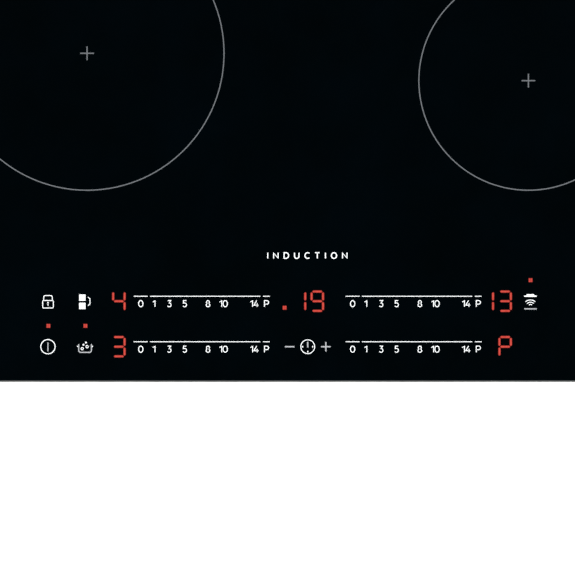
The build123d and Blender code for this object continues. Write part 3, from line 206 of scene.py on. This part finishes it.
def millAluminium(name, dark, light, grainMm, alongY):
    material, tree, shader, place = newMaterial(name, Metallic=1.0)
    stretch = (1.0, rolled["alongScale"], 1.0) if alongY else (rolled["alongScale"], 1.0, 1.0)
    lines = addNode(tree, "Mapping", values={"Scale": stretch}, links={"Vector": place}).outputs[0]
    grain = addNode(tree, "TexNoise", links={"Vector": lines}, values={
        "Scale": perMetre(grainMm), "Detail": 3.0, "Roughness": 0.55}).outputs["Fac"]
    color = addNode(tree, "ValToRGB", links={"Fac": grain}, stops=[(0.3, dark), (0.7, light)])
    dressShader(tree, shader, color.outputs["Color"], grain, rolled["roughness"], grain, rolled["depthMm"])
    return material


# glass-filled polyamide or PBT from a spark-eroded mould: a fine even grain and a soft sheen;
# sleeve, foil, foam and wire skins use the same pattern with a grain and depth of their own
plastic = {"ior": 1.53, "blotchMm": 22, "grainMm": 0.45, "depthMm": 0.03}


def mouldedPlastic(name, dark, light, roughness, grainMm=plastic["grainMm"], depthMm=plastic["depthMm"]):
    material, tree, shader, place = newMaterial(name, IOR=plastic["ior"])
    blotch = addNode(tree, "TexNoise", links={"Vector": place}, values={
        "Scale": perMetre(plastic["blotchMm"]), "Detail": 3.0, "Roughness": 0.55}).outputs["Fac"]
    grain = addNode(tree, "TexNoise", links={"Vector": place}, values={
        "Scale": perMetre(grainMm), "Detail": 2.0, "Roughness": 0.55}).outputs["Fac"]
    color = addNode(tree, "ValToRGB", links={"Fac": blotch}, stops=[(0.3, dark), (0.7, light)])
    dressShader(tree, shader, color.outputs["Color"], grain, roughness, grain, depthMm)
    return material


# closed-cell foam sealing tape: dark grey and dull, with small open pores on the cut face, their hollows
# darkened in the colour as painted shade
foam = {"ior": 1.45, "poreMm": 0.8, "dark": "#26282A", "light": "#4A4D50", "roughness": (0.95, 0.8),
        "depthMm": 0.12}


def foamTape():
    material, tree, shader, place = newMaterial("foamTape", IOR=foam["ior"])
    poreDepthAndShade = addNode(tree, "TexVoronoi", values={"Scale": perMetre(foam["poreMm"])},
                    links={"Vector": place}).outputs["Distance"]
    # the colour darkens towards each pore's centre: painted shade in the hollows, while the bump gives the
    # pores their real depth
    color = addNode(tree, "ValToRGB", links={"Fac": poreDepthAndShade}, stops=[(0.1, foam["dark"]), (0.7, foam["light"])])
    dressShader(tree, shader, color.outputs["Color"], poreDepthAndShade, foam["roughness"], poreDepthAndShade, foam["depthMm"])
    return material


# moulded EPDM rubber: black and matt, with a slight bloom
rubber = {"ior": 1.5, "bloomMm": 6, "dark": "#151617", "light": "#2B2C2E", "roughness": (0.62, 0.82),
          "grainMm": 0.4, "depthMm": 0.02}


def softRubber():
    material, tree, shader, place = newMaterial("softRubber", IOR=rubber["ior"])
    bloom = addNode(tree, "TexNoise", links={"Vector": place}, values={
        "Scale": perMetre(rubber["bloomMm"]), "Detail": 5.0, "Roughness": 0.55}).outputs["Fac"]
    color = addNode(tree, "ValToRGB", links={"Fac": bloom},
                    stops=[(0.35, rubber["dark"]), (0.75, rubber["light"])])
    grain = addNode(tree, "TexNoise", links={"Vector": place}, values={
        "Scale": perMetre(rubber["grainMm"]), "Detail": 2.0, "Roughness": 0.55}).outputs["Fac"]
    dressShader(tree, shader, color.outputs["Color"], bloom, rubber["roughness"], grain, rubber["depthMm"])
    return material


# fibreglass board under green solder mask: the copper beneath shows as a faint lattice, raised a hair;
# real tracks are a tenth as far apart, so the lattice is drawn coarser to show
board = {"ior": 1.5, "latticeMm": 20, "trackWidth": 0.015, "mask": "#0F4A26", "maskToo": "#114F29",
         "track": "#1C6637", "mottleMm": 5, "roughness": (0.25, 0.4), "depthMm": 0.04}


def circuitBoard():
    material, tree, shader, place = newMaterial("circuitBoard", IOR=board["ior"])
    values = {"Scale": perMetre(board["latticeMm"]), "Mortar Size": board["trackWidth"],
              "Color1": hexColor(board["mask"]), "Color2": hexColor(board["maskToo"]),
              "Mortar": hexColor(board["track"])}
    tracks = addNode(tree, "TexBrick", values=values, links={"Vector": place})
    mottle = addNode(tree, "TexNoise", links={"Vector": place}, values={
        "Scale": perMetre(board["mottleMm"]), "Detail": 4.0, "Roughness": 0.55}).outputs["Fac"]
    dressShader(tree, shader, tracks.outputs["Color"], mottle, board["roughness"], tracks.outputs["Fac"],
                board["depthMm"])
    return material


# litz and magnet wire: brown-orange enamel over copper, strands drawn coarser than the 0.1 mm real ones
copper = {"strandMm": 1.2, "dark": "#8A4A22", "light": "#C67A3E", "roughness": (0.3, 0.5), "depthMm": 0.05}


def enamelledCopper():
    material, tree, shader, place = newMaterial("enamelledCopper", Metallic=0.85)
    strands = addNode(tree, "TexNoise", links={"Vector": place}, values={
        "Scale": perMetre(copper["strandMm"]), "Detail": 3.0, "Roughness": 0.55}).outputs["Fac"]
    color = addNode(tree, "ValToRGB", links={"Fac": strands},
                    stops=[(0.2, copper["dark"]), (0.8, copper["light"])])
    dressShader(tree, shader, color.outputs["Color"], strands, copper["roughness"], strands, copper["depthMm"])
    return material


# sintered ferrite and pressed mica: a dry, speckled solid
grit = {"ior": 1.6, "depthMm": 0.03}


def grittySolid(name, dark, light, grainMm, roughness):
    material, tree, shader, place = newMaterial(name, IOR=grit["ior"])
    specks = addNode(tree, "TexNoise", links={"Vector": place}, values={
        "Scale": perMetre(grainMm), "Detail": 6.0, "Roughness": 0.7}).outputs["Fac"]
    color = addNode(tree, "ValToRGB", links={"Fac": specks}, stops=[(0.35, dark), (0.65, light)])
    dressShader(tree, shader, color.outputs["Color"], specks, roughness, specks, grit["depthMm"])
    return material


# cured silicone: a glossy black bead with a rippled tooling line
silicone = {"ior": 1.41, "rippleMm": 4, "dark": "#0C0C0D", "light": "#1B1B1C", "roughness": (0.3, 0.45),
            "depthMm": 0.15}


def siliconeBead():
    material, tree, shader, place = newMaterial("siliconeBead", IOR=silicone["ior"])
    ripple = addNode(tree, "TexNoise", links={"Vector": place}, values={
        "Scale": perMetre(silicone["rippleMm"]), "Detail": 2.0, "Roughness": 0.55}).outputs["Fac"]
    color = addNode(tree, "ValToRGB", links={"Fac": ripple},
                    stops=[(0.3, silicone["dark"]), (0.7, silicone["light"])])
    dressShader(tree, shader, color.outputs["Color"], ripple, silicone["roughness"], ripple,
                silicone["depthMm"])
    return material


wire = enamelledCopper()
slotMaterials = {
    "black_glass_ceramic": blackGlassCeramic(),
    "galvanised_steel": galvanisedSteel(),
    "zinc_plated_steel": platedSteel("zincPlatedSteel", "#9A9EA6", "#C9CCD0", (0.2, 0.38)),
    "spring_steel": platedSteel("springSteel", "#73767B", "#9CA0A5", (0.25, 0.4)),
    "aluminium_sheet": millAluminium("aluminiumSheet", "#B4B7BA", "#D2D4D6", 0.6, True),
    "aluminium_extrusion": millAluminium("aluminiumExtrusion", "#A8ABAF", "#C4C7CA", 0.4, False),
    "grey_foam_seal": foamTape(),
    "soft_rubber": softRubber(),
    "conductive_foam": mouldedPlastic("conductiveFoam", "#1C1D1F", "#2A2B2D", (0.8, 0.95), 0.5, 0.08),
    "black_adhesive": siliconeBead(),
    "black_plastic": mouldedPlastic("blackPolyamide", "#131415", "#1E1F21", (0.42, 0.6)),
    "grey_plastic": mouldedPlastic("greyPbt", "#4E5154", "#5E6164", (0.45, 0.6)),
    "white_plastic": mouldedPlastic("whitePolyamide", "#CFCDC4", "#DEDCD4", (0.4, 0.55)),
    "capacitor_sleeve": mouldedPlastic("shrinkSleeve", "#12182B", "#1A2238", (0.18, 0.3), 1.5, 0.01),
    "wire_insulation": mouldedPlastic("siliconeInsulation", "#4A4D52", "#5C6066", (0.35, 0.5), 1.0, 0.01),
    "clear_foil": mouldedPlastic("polyesterFoil", "#B9AE8C", "#C8BE9E", (0.1, 0.2), 2.0, 0.005),
    "green_board": circuitBoard(),
    "copper_litz": wire,
    "copper_wire": wire,
    "ferrite": grittySolid("sinteredFerrite", "#1E2022", "#34373A", 0.8, (0.55, 0.75)),
    "mica_paper": grittySolid("micaPaper", "#9C917A", "#BDB39C", 1.5, (0.4, 0.7)),
    "display_red": litDisplay("displayModule", led["module"], 0.6),
    "lamp_red": litDisplay("lampChip", led["chip"], 1.0),
}
inkWhite = enamelPrint("whiteEnamelPrint", ink["white"])
inkGrey = enamelPrint("greyEnamelPrint", ink["grey"])
inkZone = enamelPrint("zoneEnamelPrint", ink["zone"])
glowRim = litDisplay("litSegmentRim", led["rim"], 1.0)
glowCore = litDisplay("litSegmentCore", led["core"], 1.0)

for part in frame["record"]["subparts"]:
    cadObject = frame["nodes"][part["node"]]
    for slot in cadObject.material_slots:
        slot.material = slotMaterials[part["material_slot"]]
print("materials:", len(bpy.data.materials))


# every mark on the glass is a thin closed solid
def arcPoints(cx, cy, rx, ry, start, end, count=12):
    steps = [math.radians(start + (end - start) * i / count) for i in range(count + 1)]
    return [(cx + rx * math.cos(a), cy + ry * math.sin(a)) for a in steps]


def addPrism(mesh, outline, low, high):
    # outline runs anticlockwise
    bottom = [mesh.verts.new((x * mm, y * mm, low)) for x, y in outline]
    top = [mesh.verts.new((x * mm, y * mm, high)) for x, y in outline]
    mesh.faces.new(top)
    mesh.faces.new(bottom[::-1])
    for i in range(len(outline)):
        j = (i + 1) % len(outline)
        mesh.faces.new((bottom[i], bottom[j], top[j], top[i]))


def addStroke(mesh, points, width, low, high, closed=False, band=None):
    # a ribbon of even width along the points, mitred at its corners and kept inside the band of y
    count = len(points)
    left, right = [], []
    for i, point in enumerate(points):
        here = Vector(point)
        before = Vector(points[i - 1]) if i or closed else None
        after = Vector(points[(i + 1) % count]) if i < count - 1 or closed else None
        inward = (here - before).normalized() if before is not None else None
        outward = (after - here).normalized() if after is not None else None
        inward = outward if inward is None else inward
        outward = inward if outward is None else outward
        along = (inward + outward).normalized()
        side = Vector((-along.y, along.x))
        reach = width / 2 / max(abs(side.dot(Vector((-inward.y, inward.x)))), 0.4)
        left.append(here + side * reach)
        right.append(here - side * reach)
    for point in left + right if band else []:
        point.y = min(max(point.y, band[0]), band[1])
    rings = [[mesh.verts.new((p.x * mm, p.y * mm, z)) for p in edge]
             for edge, z in ((left, low), (right, low), (right, high), (left, high))]
    last = count if closed else count - 1
    for i in range(last):
        j = (i + 1) % count
        for k in range(4):
            a, b = rings[k], rings[(k + 1) % 4]
            mesh.faces.new((a[i], a[j], b[j], b[i]))
    if not closed:
        mesh.faces.new([ring[0] for ring in rings])
        mesh.faces.new([ring[-1] for ring in rings][::-1])


def finishPiece(mesh, name, material, body):
    bmesh.ops.recalc_face_normals(mesh, faces=mesh.faces)
    data = bpy.data.meshes.new(name)
    mesh.to_mesh(data)
    mesh.free()
    data.materials.append(material)
    piece = bpy.data.objects.new(name, data)
    bpy.context.collection.objects.link(piece)
    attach(piece, body)
    return piece


# how far a print reaches into and above the glass, and a lit core into and above its rim, in mm
inkLayer = {"sunk": 0.02, "raised": 0.03, "coreSunk": 0.01, "coreRaised": 0.02}
inkLow = glassTop - inkLayer["sunk"] * mm
inkHigh = glassTop + inkLayer["raised"] * mm
coreLow = inkHigh - inkLayer["coreSunk"] * mm
coreHigh = inkHigh + inkLayer["coreRaised"] * mm

# control panel: x from its middle, y from the glass's front edge, in mm
panel = {
    "keyRows": (23.2, 53.1), "scaleLineRise": 3.25, "numberDrop": 2.35,
    "scaleLeft": (-114.4, 24.8), "scaleParts": ((0.1, 9.2), (10.8, 83.2), (85.0, 89.4)),
    "lineWidth": 0.45, "numberHeight": 4.6, "numberStroke": 0.51, "numberGap": 0.35,
    "zeroX": 4.7, "firstLevelX": 13.3, "levelPitch": 5.08, "boostX": 87.3,
    "levels": (1, 3, 5, 8, 10, 14),
    "wordX": -0.25, "wordY": 80.9, "wordHeight": 4.4, "wordStroke": 0.66, "wordGap": 3.24,
}

# stroke letters: width over height of the centre line, then strokes in that box
glyphs = {
    "I": (0.0, [[(0, 0), (0, 1)]]),
    "N": (0.78, [[(0, 0), (0, 1), (0.78, 0), (0.78, 1)]]),
    "D": (0.8, [[(0, 0), (0, 1)] + arcPoints(0.32, 0.5, 0.48, 0.5, 90, -90) + [(0, 0)]]),
    "U": (0.78, [[(0, 1)] + arcPoints(0.39, 0.38, 0.39, 0.38, 180, 360) + [(0.78, 1)]]),
    "C": (0.74, [arcPoints(0.47, 0.5, 0.47, 0.5, 48, 312, 18)]),
    "T": (0.78, [[(0, 1), (0.78, 1)], [(0.39, 1), (0.39, 0)]]),
    "O": (0.92, [arcPoints(0.46, 0.5, 0.46, 0.5, 0, 360, 28)]),
    "P": (0.66, [[(0, 0), (0, 1)] + arcPoints(0.38, 0.71, 0.29, 0.29, 90, -90) + [(0, 0.42)]]),
    "0": (0.7, [arcPoints(0.35, 0.5, 0.35, 0.5, 0, 360, 28)]),
    "1": (0.36, [[(0, 0.76), (0.36, 1), (0.36, 0)]]),
    "3": (0.58, [[(0.04, 1), (0.52, 1), (0.26, 0.6)] + arcPoints(0.27, 0.3, 0.3, 0.3, 90, -150, 16)]),
    "4": (0.72, [[(0.44, 1), (0, 0.26), (0.72, 0.26)], [(0.52, 0.56), (0.52, 0)]]),
    "5": (0.56, [[(0.52, 1), (0.08, 1), (0.05, 0.58)] + arcPoints(0.26, 0.31, 0.3, 0.31, 112, -150, 16)]),
    "8": (0.6, [arcPoints(0.3, 0.76, 0.24, 0.24, 0, 360, 20), arcPoints(0.3, 0.27, 0.3, 0.27, 0, 360, 20)]),
}


def isLoop(points):
    return math.dist(points[0], points[-1]) < 1e-6


def addText(mesh, text, centerX, baseline, height, stroke, gap):
    # gap is between the outlines of neighbouring letters
    rise = height - stroke
    widths = [glyphs[letter][0] * rise + stroke for letter in text]
    x = centerX - (sum(widths) + gap * (len(text) - 1)) / 2
    for letter, width in zip(text, widths):
        for points in glyphs[letter][1]:
            placed = [(x + stroke / 2 + px * rise, baseline + stroke / 2 + py * rise) for px, py in points]
            loop = isLoop(placed)
            addStroke(mesh, placed[:-1] if loop else placed, stroke, inkLow, inkHigh, loop,
                      (baseline, baseline + height))
        x += width + gap


def onGlass(y):
    return glassFront / mm + y


def addLine(mesh, start, end, width):
    addStroke(mesh, [start, end], width, inkLow, inkHigh)


def addScales(mesh):
    for rowY in panel["keyRows"]:
        for left in panel["scaleLeft"]:
            lineY = onGlass(rowY + panel["scaleLineRise"])
            for start, end in panel["scaleParts"]:
                addLine(mesh, (left + start, lineY), (left + end, lineY), panel["lineWidth"])
            base = lineY - panel["lineWidth"] / 2 - panel["numberDrop"] - panel["numberHeight"]
            marks = [("0", panel["zeroX"]), ("P", panel["boostX"])]
            marks += [(str(n), panel["firstLevelX"] + (n - 1) * panel["levelPitch"]) for n in panel["levels"]]
            for text, x in marks:
                addText(mesh, text, left + x, base, panel["numberHeight"], panel["numberStroke"],
                        panel["numberGap"])


def makeScales():
    mesh = bmesh.new()
    addScales(mesh)
    addText(mesh, "INDUCTION", panel["wordX"], onGlass(panel["wordY"]), panel["wordHeight"],
            panel["wordStroke"], panel["wordGap"])
    finishPiece(mesh, "printedScales", inkWhite, "housing")


# pictograms: places in mm from the panel's middle and the glass's front edge
icons = {
    "lockX": -170.65, "lockBodyY": (48.4, 53.8), "lockBodyWidth": 7.5, "lockStroke": 0.5,
    "lockCorner": 0.7, "lockShackleWidth": 5.6, "shackleCorner": 1.0, "lockTop": 56.8,
    "keyholeY": 52.0, "keyholeR": 0.55, "keyholeSlot": 1.8,
    "bridgeX": -148.1, "bridgeSide": 4.15, "bridgeYs": (50.0, 55.45), "bridgeStroke": 0.5,
    "bracket": ((3.7, 55.8), (5.0, 54.7), (5.0, 51.3), (3.7, 50.2)),
    "powerX": -170.7, "powerR": 4.7, "powerStroke": 0.52, "powerBar": (-3.05, 2.9), "powerBarStroke": 0.676,
    "potX": -146.3, "potWidth": 8.3, "potY": (19.5, 24.9), "potStroke": 0.7, "potCorner": 1.3,
    "handle": 1.0, "handleDrop": 1.5,
    "steam": ((-1.9, 21.9), (1.3, 23.2)), "steamR": 0.78, "steamStroke": 0.455,
    "drops": ((-1.1, 24.5), (0.55, 25.9)), "dropR": 0.585,
    "timerR": 4.55, "timerStroke": 0.48, "hand": (-0.5, 3.2), "handWidth": 0.85, "tick": 0.55,
    "tickReach": 3.276,
    "stepX": 11.9, "stepSize": 6.2, "stepStroke": 0.82,
    "hoodX": 146.3, "hoodWidth": 8.2, "hoodTop": 5.0, "hoodY": (56.0, 56.8, 57.7),
    "waves": ((4.97, 40, 48.96), (3.05, 46, 49.4), (1.05, 62, 49.95)), "waveStroke": 0.48,
    "hobLineY": (47.7, 48.45),
}


def roundedLoop(x0, x1, y0, y1, radius):
    corners = ((x1 - radius, y1 - radius, 0), (x0 + radius, y1 - radius, 90),
               (x0 + radius, y0 + radius, 180), (x1 - radius, y0 + radius, 270))
    return [p for cx, cy, a in corners for p in arcPoints(cx, cy, radius, radius, a, a + 90, 5)]


def addDisc(mesh, x, y, radius):
    addPrism(mesh, arcPoints(x, y, radius, radius, 0, 360, 20)[:-1], inkLow, inkHigh)


def addRing(mesh, x, y, radius, width, count=40):
    addStroke(mesh, arcPoints(x, y, radius, radius, 0, 360, count)[:-1], width, inkLow, inkHigh, True)


def addRect(mesh, x0, x1, y0, y1):
    addPrism(mesh, [(x0, y0), (x1, y0), (x1, y1), (x0, y1)], inkLow, inkHigh)


def addLock(mesh):
    x, half = icons["lockX"], icons["lockBodyWidth"] / 2 - icons["lockStroke"] / 2
    low, high = (onGlass(y) for y in icons["lockBodyY"])
    inset = icons["lockStroke"] / 2
    addStroke(mesh, roundedLoop(x - half, x + half, low + inset, high - inset, icons["lockCorner"]),
              icons["lockStroke"], inkLow, inkHigh, True)
    reach = icons["lockShackleWidth"] / 2
    top = onGlass(icons["lockTop"])
    bend = icons["shackleCorner"]
    shackle = [(x + reach, high - inset)] + arcPoints(x + reach - bend, top - bend, bend, bend, 0, 90, 5)
    shackle += arcPoints(x - reach + bend, top - bend, bend, bend, 90, 180, 5) + [(x - reach, high - inset)]
    addStroke(mesh, shackle, icons["lockStroke"], inkLow, inkHigh)
    addDisc(mesh, x, onGlass(icons["keyholeY"]), icons["keyholeR"])
    addLine(mesh, (x, onGlass(icons["keyholeY"])), (x, onGlass(icons["keyholeY"] - icons["keyholeSlot"])),
            icons["keyholeR"])


def addBridge(mesh):
    x, half = icons["bridgeX"], icons["bridgeSide"] / 2
    for y in icons["bridgeYs"]:
        addRect(mesh, x - half, x + half, onGlass(y) - half, onGlass(y) + half)
    bracket = [(x + dx, onGlass(y)) for dx, y in icons["bracket"]]
    addStroke(mesh, bracket, icons["bridgeStroke"], inkLow, inkHigh)


def addPower(mesh, greyMesh):
    x, y = icons["powerX"], onGlass(panel["keyRows"][0])
    addRing(mesh, x, y, icons["powerR"], icons["powerStroke"])
    low, high = icons["powerBar"]
    addLine(greyMesh, (x, y + low), (x, y + high), icons["powerBarStroke"])


def addPot(mesh, greyMesh):
    x, half = icons["potX"], icons["potWidth"] / 2
    low, high = (onGlass(y) for y in icons["potY"])
    bend, handleY = icons["potCorner"], high - icons["handleDrop"]
    body = [(x - half, high)] + arcPoints(x - half + bend, low + bend, bend, bend, 180, 270, 5)
    body += arcPoints(x + half - bend, low + bend, bend, bend, 270, 360, 5) + [(x + half, high)]
    addStroke(greyMesh, body, icons["potStroke"], inkLow, inkHigh)
    for side in (-1, 1):
        start, end = x + side * half, x + side * (half + icons["handle"])
        addLine(mesh, (start, handleY), (end, handleY), icons["potStroke"])
    for dx, y in icons["steam"]:
        addRing(mesh, x + dx, onGlass(y), icons["steamR"], icons["steamStroke"], 16)
    for dx, y in icons["drops"]:
        addDisc(mesh, x + dx, onGlass(y), icons["dropR"])


def addTimer(mesh, greyMesh):
    y = onGlass(panel["keyRows"][0])
    addRing(mesh, 0, y, icons["timerR"], icons["timerStroke"])
    addLine(greyMesh, (0, y + icons["hand"][0]), (0, y + icons["hand"][1]), icons["handWidth"])
    tick, reach = icons["tick"], icons["tickReach"]
    for tickX, tickY in ((-reach, 0), (reach, 0), (0, -reach)):
        addRect(mesh, tickX - tick / 2, tickX + tick / 2, y + tickY - tick, y + tickY + tick)
    half, stroke = icons["stepSize"] / 2, icons["stepStroke"]
    addLine(greyMesh, (-icons["stepX"] - half, y), (-icons["stepX"] + half, y), stroke)
    addLine(greyMesh, (icons["stepX"] - half, y), (icons["stepX"] + half, y), stroke)
    addLine(greyMesh, (icons["stepX"], y + stroke / 2), (icons["stepX"], y + half), stroke)
    addLine(greyMesh, (icons["stepX"], y - half), (icons["stepX"], y - stroke / 2), stroke)


def addHood(mesh, greyMesh):
    x, half = icons["hoodX"], icons["hoodWidth"] / 2
    low, middle, high = (onGlass(y) for y in icons["hoodY"])
    top = icons["hoodTop"] / 2
    addRect(mesh, x - half, x + half, low, middle)
    addRect(mesh, x - top, x + top, middle, high)
    for radius, opening, centreY in icons["waves"]:
        wave = arcPoints(x, onGlass(centreY), radius, radius, 90 + opening, 90 - opening, 14)
        addStroke(mesh, wave, icons["waveStroke"], inkLow, inkHigh)
    low, high = (onGlass(y) for y in icons["hobLineY"])
    addRect(greyMesh, x - half, x + half, low, high)


def makeIcons():
    mesh, greyMesh = bmesh.new(), bmesh.new()
    addLock(mesh)
    addBridge(mesh)
    addPower(mesh, greyMesh)
    addPot(mesh, greyMesh)
    addTimer(mesh, greyMesh)
    addHood(mesh, greyMesh)
    finishPiece(mesh, "printedSymbols", inkWhite, "housing")
    finishPiece(greyMesh, "printedGreySymbols", inkGrey, "housing")


# lit seven-segment digits
digits = {
    "width": 9.0, "height": 14.2, "bar": 1.5, "pitch": 11.7, "tipGap": 0.5, "shoulder": 0.75, "blunt": 0.3,
    "rim": 0.34,
    "shown": (("4", -124.1, 1), ("3", -124.1, 0), ("19", 6.3, 1), ("13", 129.7, 1), ("P", 129.7, 0)),
    "lampSide": 2.6, "lampGap": 0.3,
    "lamps": ((-170.4, 36.9), (-146.1, 36.9), (-15.2, 48.8), (146.4, 66.9)),
}
segmentsOf = {"1": "bc", "3": "abcdg", "4": "bcfg", "9": "abcdfg", "P": "abefg"}


def segmentOutline(name, inset):
    halfBar = digits["bar"] / 2
    sideX = digits["width"] / 2 - halfBar
    topY = digits["height"] / 2 - halfBar
    ends = {
        "a": ((-sideX, topY), (sideX, topY)), "g": ((-sideX, 0), (sideX, 0)),
        "d": ((-sideX, -topY), (sideX, -topY)), "b": ((sideX, 0), (sideX, topY)),
        "c": ((sideX, -topY), (sideX, 0)), "f": ((-sideX, 0), (-sideX, topY)),
        "e": ((-sideX, -topY), (-sideX, 0)),
    }[name]
    start, end = (Vector(e) for e in ends)
    along = (end - start).normalized()
    side = Vector((-along.y, along.x))
    half = halfBar - inset
    tip = digits["tipGap"] + inset
    shoulder = tip + half * digits["shoulder"]
    blunt = half * digits["blunt"]
    return [start + along * shoulder - side * half, end - along * shoulder - side * half,
            end - along * tip - side * blunt, end - along * tip + side * blunt,
            end - along * shoulder + side * half, start + along * shoulder + side * half,
            start + along * tip + side * blunt, start + along * tip - side * blunt]


def addDigit(rimMesh, coreMesh, shape, x, y):
    for name in segmentsOf[shape]:
        for mesh, inset, low, high in ((rimMesh, 0.0, inkLow, inkHigh),
                                       (coreMesh, digits["rim"], coreLow, coreHigh)):
            outline = [(p.x + x, p.y + y) for p in segmentOutline(name, inset)]
            addPrism(mesh, outline, low, high)


def makeDigits():
    rimMesh, coreMesh = bmesh.new(), bmesh.new()
    for text, unitsX, row in digits["shown"]:
        for i, shape in enumerate(reversed(text)):
            addDigit(rimMesh, coreMesh, shape, unitsX - i * digits["pitch"], onGlass(panel["keyRows"][row]))
    half, gap = digits["lampSide"] / 2, digits["lampGap"]
    for x, y in digits["lamps"]:
        y = onGlass(y)
        addRect(rimMesh, x - half, x + half, y - half, y + half)
        for sx in (-1, 1):
            for sy in (-1, 1):
                xs = sorted((x + sx * gap / 2, x + sx * (half - gap)))
                ys = sorted((y + sy * gap / 2, y + sy * (half - gap)))
                outline = [(xs[0], ys[0]), (xs[1], ys[0]), (xs[1], ys[1]), (xs[0], ys[1])]
                addPrism(coreMesh, outline, coreLow, coreHigh)
    finishPiece(rimMesh, "litDigitRims", glowRim, "housing")
    finishPiece(coreMesh, "litDigitCores", glowCore, "housing")


# cooking zone marks, printed round each coil; the split is the y between the two zones of a side
zoneMarks = {"ringWidth": 0.7, "ringSteps": 120, "crossSize": 9.0, "crossWidth": 0.8, "outset": 2.0,
             "splits": {-1: 46.5, 1: 11.5}}


def zoneCircles():
    # each coil's insulation disc lies in its own quarter of the glass
    corners = [v.co / mm for v in frame["nodes"]["coil_insulation"].data.vertices]
    circles = []
    for side, split in zoneMarks["splits"].items():
        for end in (-1, 1):
            points = [p for p in corners if p.x * side > 0 and (p.y - split) * end > 0]
            left, right = min(p.x for p in points), max(p.x for p in points)
            front, rear = min(p.y for p in points), max(p.y for p in points)
            circles.append(((left + right) / 2, (front + rear) / 2, (right - left) / 2))
    return circles


def makeZoneMarks():
    mesh = bmesh.new()
    half, width = zoneMarks["crossSize"] / 2, zoneMarks["crossWidth"]
    for x, y, radius in zoneCircles():
        addRing(mesh, x, y, radius + zoneMarks["outset"], zoneMarks["ringWidth"], zoneMarks["ringSteps"])
        addLine(mesh, (x - half, y), (x + half, y), width)
        addLine(mesh, (x, y + width / 2), (x, y + half), width)
        addLine(mesh, (x, y - half), (x, y - width / 2), width)
    finishPiece(mesh, "printedZoneMarks", inkZone, "housing")


makeScales()
makeIcons()
print("scales and symbols printed")
makeDigits()
print("digits and lamps lit")
makeZoneMarks()
print("zone marks printed")


# looks straight down on the control panel; mm from its middle and from the glass's front edge
camera = {"centreX": -13.3, "centreY": 62.1, "viewWidth": 377.8, "lens": 100.0, "sensor": 36.0,
          "clipStart": 0.05, "clipEnd": 100}


def makeCamera():
    data = bpy.data.cameras.new("camera")
    data.lens = camera["lens"]
    data.sensor_width = camera["sensor"]
    data.clip_start = camera["clipStart"]
    data.clip_end = camera["clipEnd"]
    rig = bpy.data.objects.new("camera", data)
    distance = camera["viewWidth"] * camera["lens"] / camera["sensor"]
    rig.location = (camera["centreX"] * mm, onGlass(camera["centreY"]) * mm, glassTop + distance * mm)
    bpy.context.collection.objects.link(rig)
    bpy.context.scene.camera = rig


# matt painted studio floor, in metres where not said, just under the case
floor = {"size": 60.0, "drop": 0.0002, "dark": "#F4F4F2", "light": "#FAFAF8", "mottleMm": 400, "roughness": 0.7}


def makeFloor():
    mesh = bmesh.new()
    bmesh.ops.create_grid(mesh, x_segments=4, y_segments=4, size=floor["size"] / 2)
    data = bpy.data.meshes.new("studioFloor")
    mesh.to_mesh(data)
    mesh.free()
    material, tree, shader, place = newMaterial("studioFloor", Roughness=floor["roughness"])
    mottle = addNode(tree, "TexNoise", links={"Vector": place}, values={
        "Scale": perMetre(floor["mottleMm"]), "Detail": 2.0, "Roughness": 0.55}).outputs["Fac"]
    tone = addNode(tree, "ValToRGB", links={"Fac": mottle}, stops=[(0.3, floor["dark"]), (0.7, floor["light"])])
    tree.links.new(tone.outputs["Color"], shader.inputs["Base Color"])
    data.materials.append(material)
    plane = bpy.data.objects.new("studioFloor", data)
    bpy.context.collection.objects.link(plane)
    plane.location = (0, 0, cadBounds[0][2] - floor["drop"])


# two softboxes stand in front, kept out of mirror reflections so no hard edge crosses the glass
lights = {"distance": 2.2, "size": 1.6, "elevation": 42, "azimuths": (228, 312), "power": 30.0}


def makeLights():
    for i, azimuth in enumerate(lights["azimuths"]):
        data = bpy.data.lights.new(f"softbox{i}", "AREA")
        data.shape = "SQUARE"
        data.size = lights["size"]
        data.energy = lights["power"]
        box = bpy.data.objects.new(f"softbox{i}", data)
        a, e = math.radians(azimuth), math.radians(lights["elevation"])
        aim = Vector((math.cos(e) * math.cos(a), math.cos(e) * math.sin(a), math.sin(e)))
        box.location = aim * lights["distance"]
        box.rotation_euler = aim.to_track_quat("Z", "Y").to_euler()
        box.visible_glossy = False
        bpy.context.collection.objects.link(box)


# a ring softbox high round the object, with a dark hole overhead that the glass mirrors upwards;
# each stop is a height on the sky's dome and its tone
sky = {"strength": 2.3, "stops": [(0.0, "#B4B5B6"), (0.1, "#7E8082"), (0.58, "#77797B"), (0.68, "#F2F4F6"),
                                  (0.85, "#F2F4F6"), (0.94, "#0C0D0E")]}


def makeWorld():
    world = bpy.data.worlds.new("studioWorld")
    bpy.context.scene.world = world
    world.use_nodes = True
    tree = world.node_tree
    tree.nodes.clear()
    direction = addNode(tree, "TexCoord").outputs["Generated"]
    height = addNode(tree, "SeparateXYZ", links={"Vector": direction}).outputs["Z"]
    dome = addNode(tree, "ValToRGB", links={"Fac": height}, stops=sky["stops"])
    background = addNode(tree, "Background", values={"Strength": sky["strength"]},
                         links={"Color": dome.outputs["Color"]})
    addNode(tree, "OutputWorld", links={"Surface": background.outputs[0]})


makeCamera()
makeFloor()
makeLights()
makeWorld()
bpy.context.scene.view_settings.view_transform = "Standard"
print("camera, floor and lights placed")
